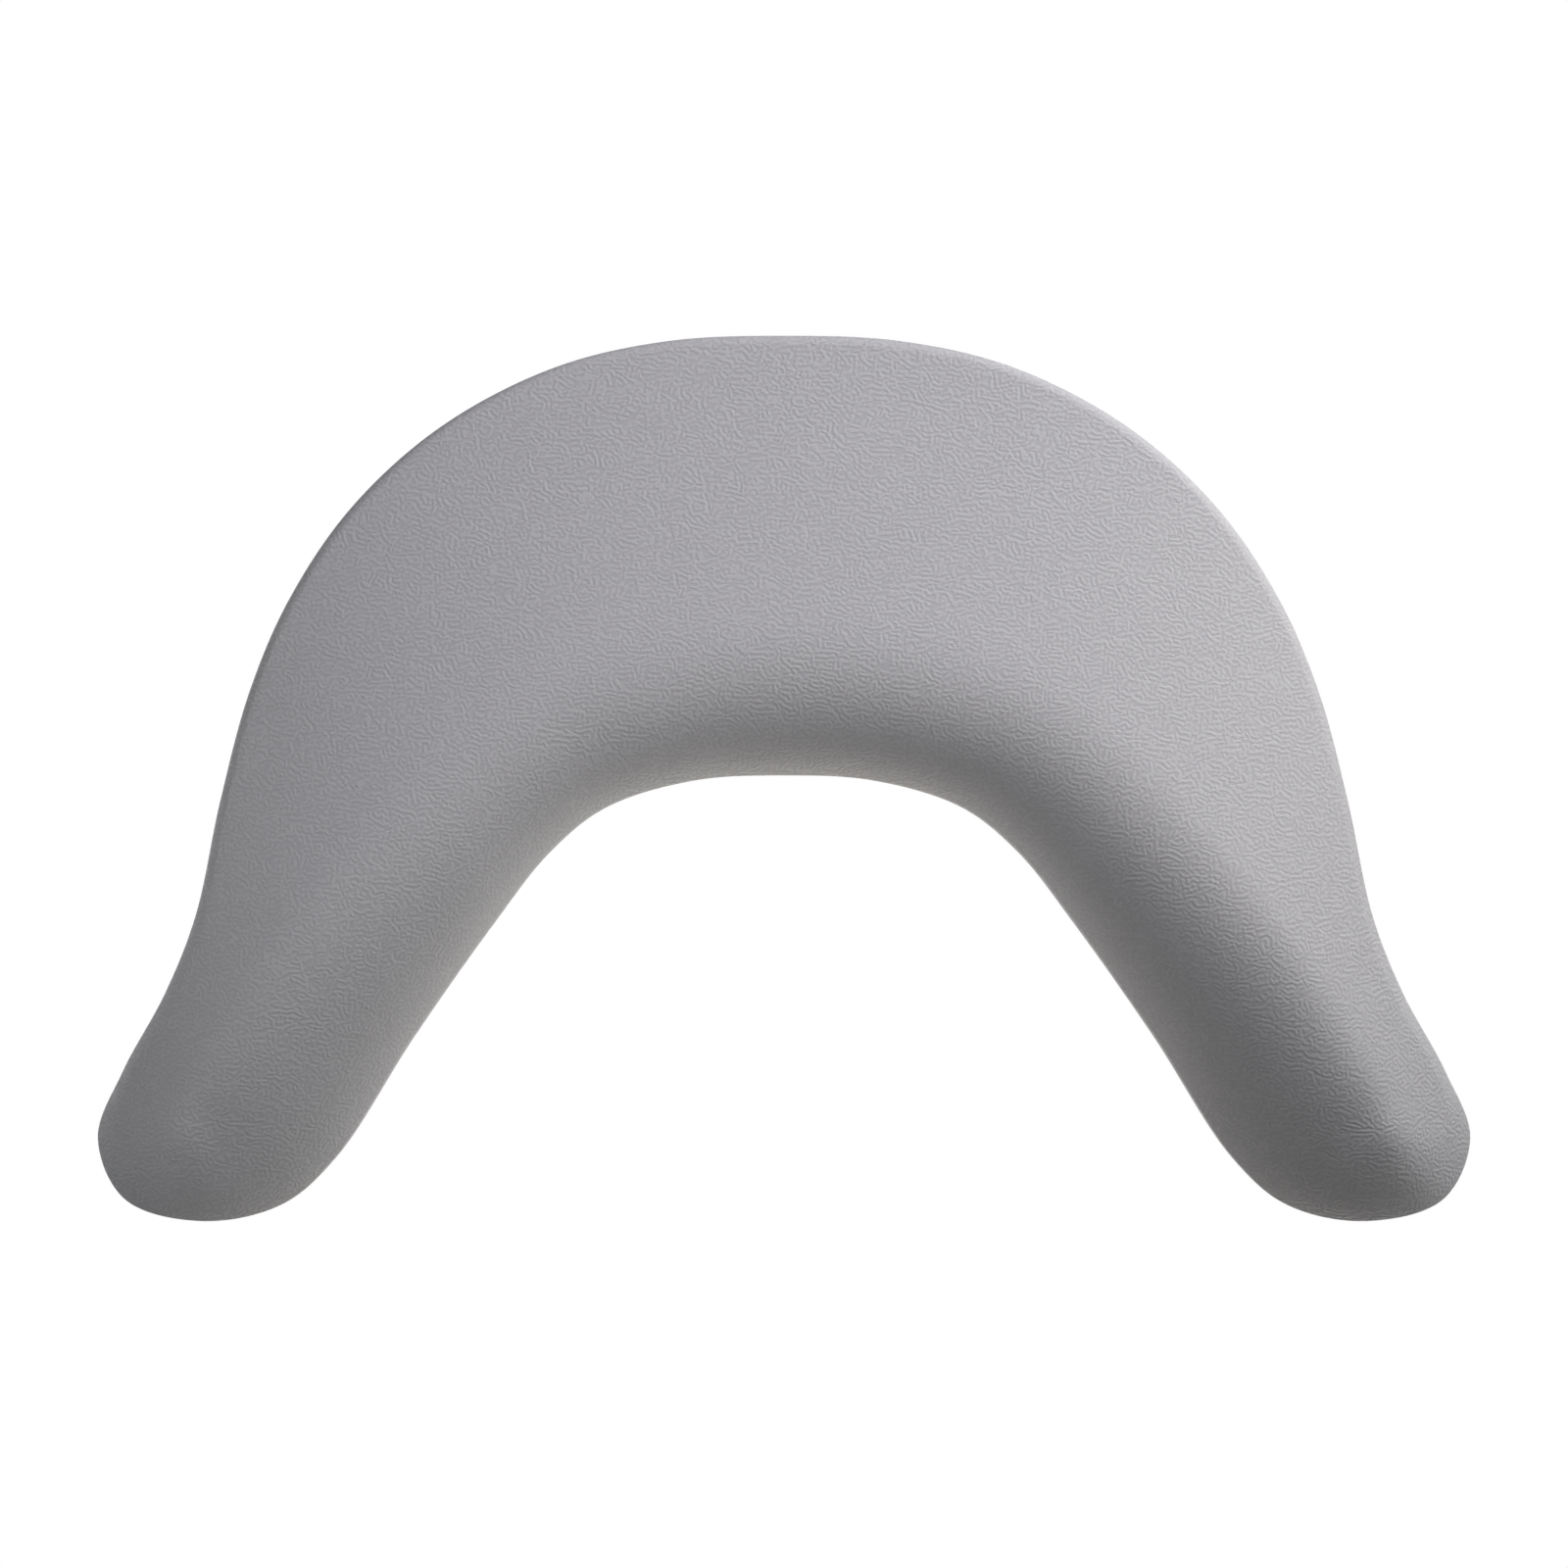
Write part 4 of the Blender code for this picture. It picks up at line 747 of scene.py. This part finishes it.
waves = put(
    leather_grain,
    "ShaderNodeTexGabor",
    {"Vector": winding.outputs["Vector"], "Scale": per_metre.outputs[0], "Frequency": 2.0, "Anisotropy": 0.0},
    gabor_type="3D",
)
ridges = put(
    leather_grain,
    "ShaderNodeMapRange",
    {"Value": waves.outputs["Value"], "From Min": 0.40, "From Max": 0.62},
    interpolation_type="SMOOTHSTEP",
)
skin = put(
    leather_grain, "ShaderNodeTexNoise", {"Vector": given.outputs["Vector"], "Scale": 2400.0, "Detail": 1.0}
)
skin_height = put(
    leather_grain,
    "ShaderNodeMath",
    {0: skin.outputs["Fac"], 1: 0.18, 2: ridges.outputs["Result"]},
    operation="MULTIPLY_ADD",
)
cells = put(
    leather_grain,
    "ShaderNodeTexVoronoi",
    {"Vector": given.outputs["Vector"], "Scale": 110.0, "Randomness": 1.0},
)
near = put(
    leather_grain,
    "ShaderNodeMapRange",
    {"Value": cells.outputs["Distance"], "From Min": 0.02, "From Max": 0.045, "To Min": 1.0, "To Max": 0.0},
    interpolation_type="SMOOTHSTEP",
)
chance = put(leather_grain, "ShaderNodeSeparateColor", {"Color": cells.outputs["Color"]})
chosen = put(leather_grain, "ShaderNodeMath", {0: chance.outputs["Red"], 1: 0.93}, operation="GREATER_THAN")
holes = put(
    leather_grain, "ShaderNodeMath", {0: near.outputs["Result"], 1: chosen.outputs[0]}, operation="MULTIPLY"
)
pitted = put(
    leather_grain,
    "ShaderNodeMath",
    {0: holes.outputs[0], 1: -3.0, 2: skin_height.outputs[0]},
    operation="MULTIPLY_ADD",
)
broad = put(
    leather_grain, "ShaderNodeTexNoise", {"Vector": given.outputs["Vector"], "Scale": 30.0, "Detail": 3.0}
)
leather_grain.links.new(pitted.outputs[0], made.inputs["Height"])
leather_grain.links.new(ridges.outputs["Result"], made.inputs["Ridges"])
leather_grain.links.new(holes.outputs[0], made.inputs["Pinholes"])
leather_grain.links.new(broad.outputs["Fac"], made.inputs["Mottle"])

foam, tree, shader = new_material("grey_skinned_foam")
place = put(tree, "ShaderNodeTexCoord")
grain = put(
    tree, "ShaderNodeGroup", {"Vector": place.outputs["Object"], "Pitch": 0.0012}, node_tree=leather_grain
)
ground = blend_colours(tree, grain.outputs["Mottle"], (0.378, 0.374, 0.390, 1), (0.400, 0.395, 0.412, 1))
# Painted light: the grain's ridge tops are painted lighter than the valleys between them, a painted highlight
# on the ridges and painted shade in the valleys.
ridges_painted_lit = blend_colours(tree, grain.outputs["Ridges"], ground, (0.425, 0.420, 0.436, 1))
# Painted shade: the pinholes are painted near black, the shade inside each hole.
pinholes_painted_dark = blend_colours(tree, grain.outputs["Pinholes"], ridges_painted_lit, (0.05, 0.048, 0.05, 1))
roughness = graded_value(tree, grain.outputs["Ridges"], 0.72, 0.62)
feed_shader(tree, shader, pinholes_painted_dark, roughness, grain.outputs["Height"], 0.00009)
shader.inputs["Specular IOR Level"].default_value = 0.14

pad = piece("foam_skin", bm, foam, "pad", "foam_pad", crease=35)

# ---------------------------------------------------------------- rear cover
# A dish of dark grey ABS with a fine spark-eroded texture over the back of the pad. Its window leaves room
# for the hinge. Six screws in deep wells hold it, through posts that stand on the carrier's bosses.

COVER_INSET = 9 * MM
COVER_ROLL = 6 * MM
COVER_WALL = 2.2 * MM
COVER_SEAT = 0.1 * MM
WINDOW_HALF_WIDTH = 40.7 * MM
WINDOW_HALF_HEIGHT = 28 * MM
WINDOW_CORNER = 7 * MM
WINDOW_ROUND = 0.8 * MM
WELL_RADIUS = 3.8 * MM
WELL_ROUND = 0.4 * MM
WELL_FLOOR = 2.2 * MM
POST_RADIUS = 5.5 * MM
SCREW_HOLE = 1.8 * MM
RIM_EASE = 0.3 * MM
SUPPORT = 1.2 * MM  # a flat strip that keeps a round from spreading over the flat beside it
WELL_SUPPORT = 0.5 * MM
cover_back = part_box("rear_cover")[1].y - pad_back_y


def window_loop(wider, rise):
    """The window's outline, this much wider on all sides, so far behind the pad's back plane."""
    x = WINDOW_HALF_WIDTH + wider
    z = WINDOW_HALF_HEIGHT + wider
    radius = WINDOW_CORNER + wider
    corners = [(-x, -z), (x, -z), (x, z), (-x, z)]
    return [Vector((px, pad_back_y + rise, pz)) for px, pz in filleted(corners, [radius] * 4, 10)]


def round_well(centre, radius, rise):
    """A circle round a cover screw."""
    return [Vector((centre.x + p.x, pad_back_y + rise, centre.z + p.y)) for p in ring_at(radius, 0, 40)]


def open_rim(bm, row):
    """The edges along a loft's first or last loop."""
    return [bm.edges.get((row[i - 1], row[i])) for i in range(len(row))]


# Three kinds of strip: round the cover, through the window and through each screw well. Each runs from the
# outside to the inside, and the flats between them are filled last.
cover_outline = pad_stations(80, 36)
inside_back = cover_back - COVER_WALL
edge_loops = [inset_loop(cover_outline, COVER_INSET + COVER_ROLL + SUPPORT, -cover_back)]
for inset, fall in quarter_round(COVER_ROLL, 10):
    edge_loops.append(inset_loop(cover_outline, COVER_INSET + inset, fall - cover_back))
edge_loops.append(inset_loop(cover_outline, COVER_INSET, -COVER_SEAT - RIM_EASE))
edge_loops.append(inset_loop(cover_outline, COVER_INSET + RIM_EASE, -COVER_SEAT))
edge_loops.append(inset_loop(cover_outline, COVER_INSET + COVER_WALL, -COVER_SEAT))
for inset, fall in reversed(quarter_round(COVER_ROLL - COVER_WALL, 6)):
    edge_loops.append(inset_loop(cover_outline, COVER_INSET + COVER_WALL + inset, fall - inside_back))
edge_loops.append(inset_loop(cover_outline, COVER_INSET + COVER_ROLL + SUPPORT, -inside_back))

window_loops = [window_loop(WINDOW_ROUND + SUPPORT, cover_back)]
for wider, fall in quarter_round(WINDOW_ROUND, 5):
    window_loops.append(window_loop(wider, cover_back - fall))
window_loops += [window_loop(0, inside_back), window_loop(SUPPORT, inside_back)]

strips = [edge_loops, window_loops]
cover_screws = [f"cover_screw_{side}_{number}" for side in ("left", "right") for number in (1, 2, 3)]
for screw in cover_screws:
    low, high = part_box(screw)
    centre = (low + high) / 2
    loops = [round_well(centre, WELL_RADIUS + WELL_ROUND + WELL_SUPPORT, cover_back)]
    for wider, fall in quarter_round(WELL_ROUND, 3):
        loops.append(round_well(centre, WELL_RADIUS + wider, cover_back - fall))
    for radius, rise in (
        (WELL_RADIUS, WELL_FLOOR), (SCREW_HOLE, WELL_FLOOR), (SCREW_HOLE, COVER_SEAT),
        (POST_RADIUS, COVER_SEAT), (POST_RADIUS, inside_back), (POST_RADIUS + WELL_SUPPORT, inside_back),
    ):
        loops.append(round_well(centre, radius, rise))
    strips.append(loops)

bm = bmesh.new()
outside_rims = []
inside_rims = []
for loops in strips:
    rows = loft(bm, loops)
    outside_rims += open_rim(bm, rows[0])
    inside_rims += open_rim(bm, rows[-1])
for rims in (outside_rims, inside_rims):
    bmesh.ops.triangle_fill(bm, use_beauty=True, use_dissolve=False, edges=rims, normal=(0, 1, 0))
cover_plastic = coated_material(
    "dark_grey_abs", colour=(0.062, 0.062, 0.067, 1), worn=(0.12, 0.12, 0.125, 1),
    rough=(0.42, 0.58), metallic=0.0, grain=0.0004, height=0.00003,
)
piece("moulded_cover", bm, cover_plastic, "pad", "rear_cover")

# ---------------------------------------------------------------- pad screws
# Zinc-plated socket screws with domed heads. Six thread-forming ones hold the cover to the carrier's bosses,
# and four M6 ones hold the hinge brackets to the brass inserts.

for screw in cover_screws:
    fit_screw(screw, "back", "pad", head=3.5 * MM, head_height=2.2 * MM, shank=1.6 * MM, length=9.2 * MM)
for side in ("left", "right"):
    for level in ("upper", "lower"):
        fit_screw(
            f"bracket_screw_{side}_{level}", "back", "pad",
            head=5.25 * MM, head_height=3.3 * MM, shank=3 * MM, length=10.7 * MM,
        )

# ---------------------------------------------------------------- studio
# The camera looks square at the pad's front from three metres, at the height of the pad's middle. Soft lamps
# stand mostly above and to the right, with weaker ones below and behind. The floor and the world look white.

SENSOR = 36
PICTURE_WIDTH = 0.3726
CAMERA_DISTANCE = 3.0
PAD_EDGE_Y = -0.094
PICTURE_MIDDLE_Z = -0.0544

camera_data = bpy.data.cameras.new("camera")
camera_data.sensor_width = SENSOR
camera_data.lens = SENSOR * CAMERA_DISTANCE / PICTURE_WIDTH
camera_data.clip_end = 50
camera = bpy.data.objects.new("camera", camera_data)
bpy.context.scene.collection.objects.link(camera)
camera.location = (0, PAD_EDGE_Y - CAMERA_DISTANCE, PICTURE_MIDDLE_Z)
camera.rotation_euler = (math.radians(90), 0, 0)
bpy.context.scene.camera = camera

# Each lamp's name, place, diameter, watts and colour.
LAMPS = [
    ("key_side", (0.4, -0.22, 0.12), 0.3, 0.69, (1.0, 0.97, 0.85)),
    ("key_high", (0.3, -0.42, 0.33), 0.3, 0.38, (0.95, 0.96, 1.0)),
    ("key_middle", (0.34, -0.33, 0.23), 0.3, 0.14, (1.0, 0.99, 0.97)),
    ("key_far", (0.399, -0.346, 0.303), 0.4, 1.28, (0.96, 0.98, 1.0)),
    ("side_far", (0.538, -0.293, 0.095), 0.45, 0.22, (0.92, 0.94, 1.0)),
    ("side_low", (0.6, -0.1, -0.05), 0.4, 0.29, (0.86, 0.87, 1.0)),
    ("top_right", (0.225, -0.295, 0.459), 0.45, 0.69, (0.94, 0.91, 1.0)),
    ("top_front", (0.06, -0.38, 0.33), 0.3, 0.24, (0.87, 0.87, 1.0)),
    ("overhead", (0.125, -0.07, 0.537), 0.45, 0.47, (1.0, 0.98, 1.0)),
    ("front_fill", (0.0, -0.439, 0.042), 0.3, 0.27, (1.0, 0.955, 0.93)),
    ("low_left_fill", (-0.266, -0.336, -0.103), 0.3, 0.37, (0.97, 0.99, 1.0)),
    ("low_back_right", (0.25, 0.45, -0.55), 0.6, 2.87, (0.97, 1.0, 0.96)),
    ("left_back_fill", (-0.45, 0.45, -0.05), 0.5, 2.0, (1.0, 1.0, 1.0)),
    ("under_right", (0.138, 0.119, -0.349), 0.3, 0.22, (1.0, 1.0, 0.95)),
    ("under_middle", (0.0, 0.299, -0.523), 0.5, 1.33, (1.0, 0.88, 0.72)),
]
AIM = Vector((0, -0.07, -0.05))

for name, place, diameter, watts, colour in LAMPS:
    lamp_data = bpy.data.lights.new(name, "AREA")
    lamp_data.shape = "DISK"
    lamp_data.size = diameter
    lamp_data.energy = watts
    lamp_data.color = colour
    lamp = bpy.data.objects.new(name, lamp_data)
    bpy.context.scene.collection.objects.link(lamp)
    lamp.location = place
    lamp.rotation_euler = (AIM - Vector(place)).to_track_quat("-Z", "Y").to_euler()
    lamp.visible_camera = False

FLOOR_Z = -1.15
FLOOR_GLOW = 0.92

bm = bmesh.new()
bmesh.ops.create_grid(bm, x_segments=1, y_segments=1, size=6)
bmesh.ops.translate(bm, vec=(0, 0, FLOOR_Z), verts=bm.verts)
floor_mesh = bpy.data.meshes.new("floor")
bm.to_mesh(floor_mesh)
bm.free()
floor = bpy.data.objects.new("floor", floor_mesh)
bpy.context.scene.collection.objects.link(floor)


def seen_white(tree):
    """1 for what the camera sees, by itself, in gloss or through glass, and 0 for light on the object."""
    ray = put(tree, "ShaderNodeLightPath")
    mirrored = put(
        tree, "ShaderNodeMath", {0: ray.outputs["Is Camera Ray"], 1: ray.outputs["Is Glossy Ray"]},
        operation="MAXIMUM",
    )
    seen = put(
        tree, "ShaderNodeMath", {0: mirrored.outputs[0], 1: ray.outputs["Is Transmission Ray"]},
        operation="MAXIMUM",
    )
    return seen.outputs[0]


pale_floor, tree, shader = new_material("pale_floor")
shader.inputs["Base Color"].default_value = (0.8, 0.8, 0.8, 1)
shader.inputs["Roughness"].default_value = 0.9
shader.inputs["Emission Color"].default_value = (1, 1, 1, 1)
glow = put(tree, "ShaderNodeMath", {0: seen_white(tree), 1: FLOOR_GLOW}, operation="MULTIPLY")
tree.links.new(glow.outputs[0], shader.inputs["Emission Strength"])
floor_mesh.materials.append(pale_floor)

world = bpy.data.worlds.new("studio")
world.use_nodes = True
bpy.context.scene.world = world
backdrop = world.node_tree.nodes["Background"]
backdrop.inputs["Color"].default_value = (1, 1, 1, 1)
world.node_tree.links.new(seen_white(world.node_tree), backdrop.inputs["Strength"])
bpy.context.scene.view_settings.view_transform = "Standard"
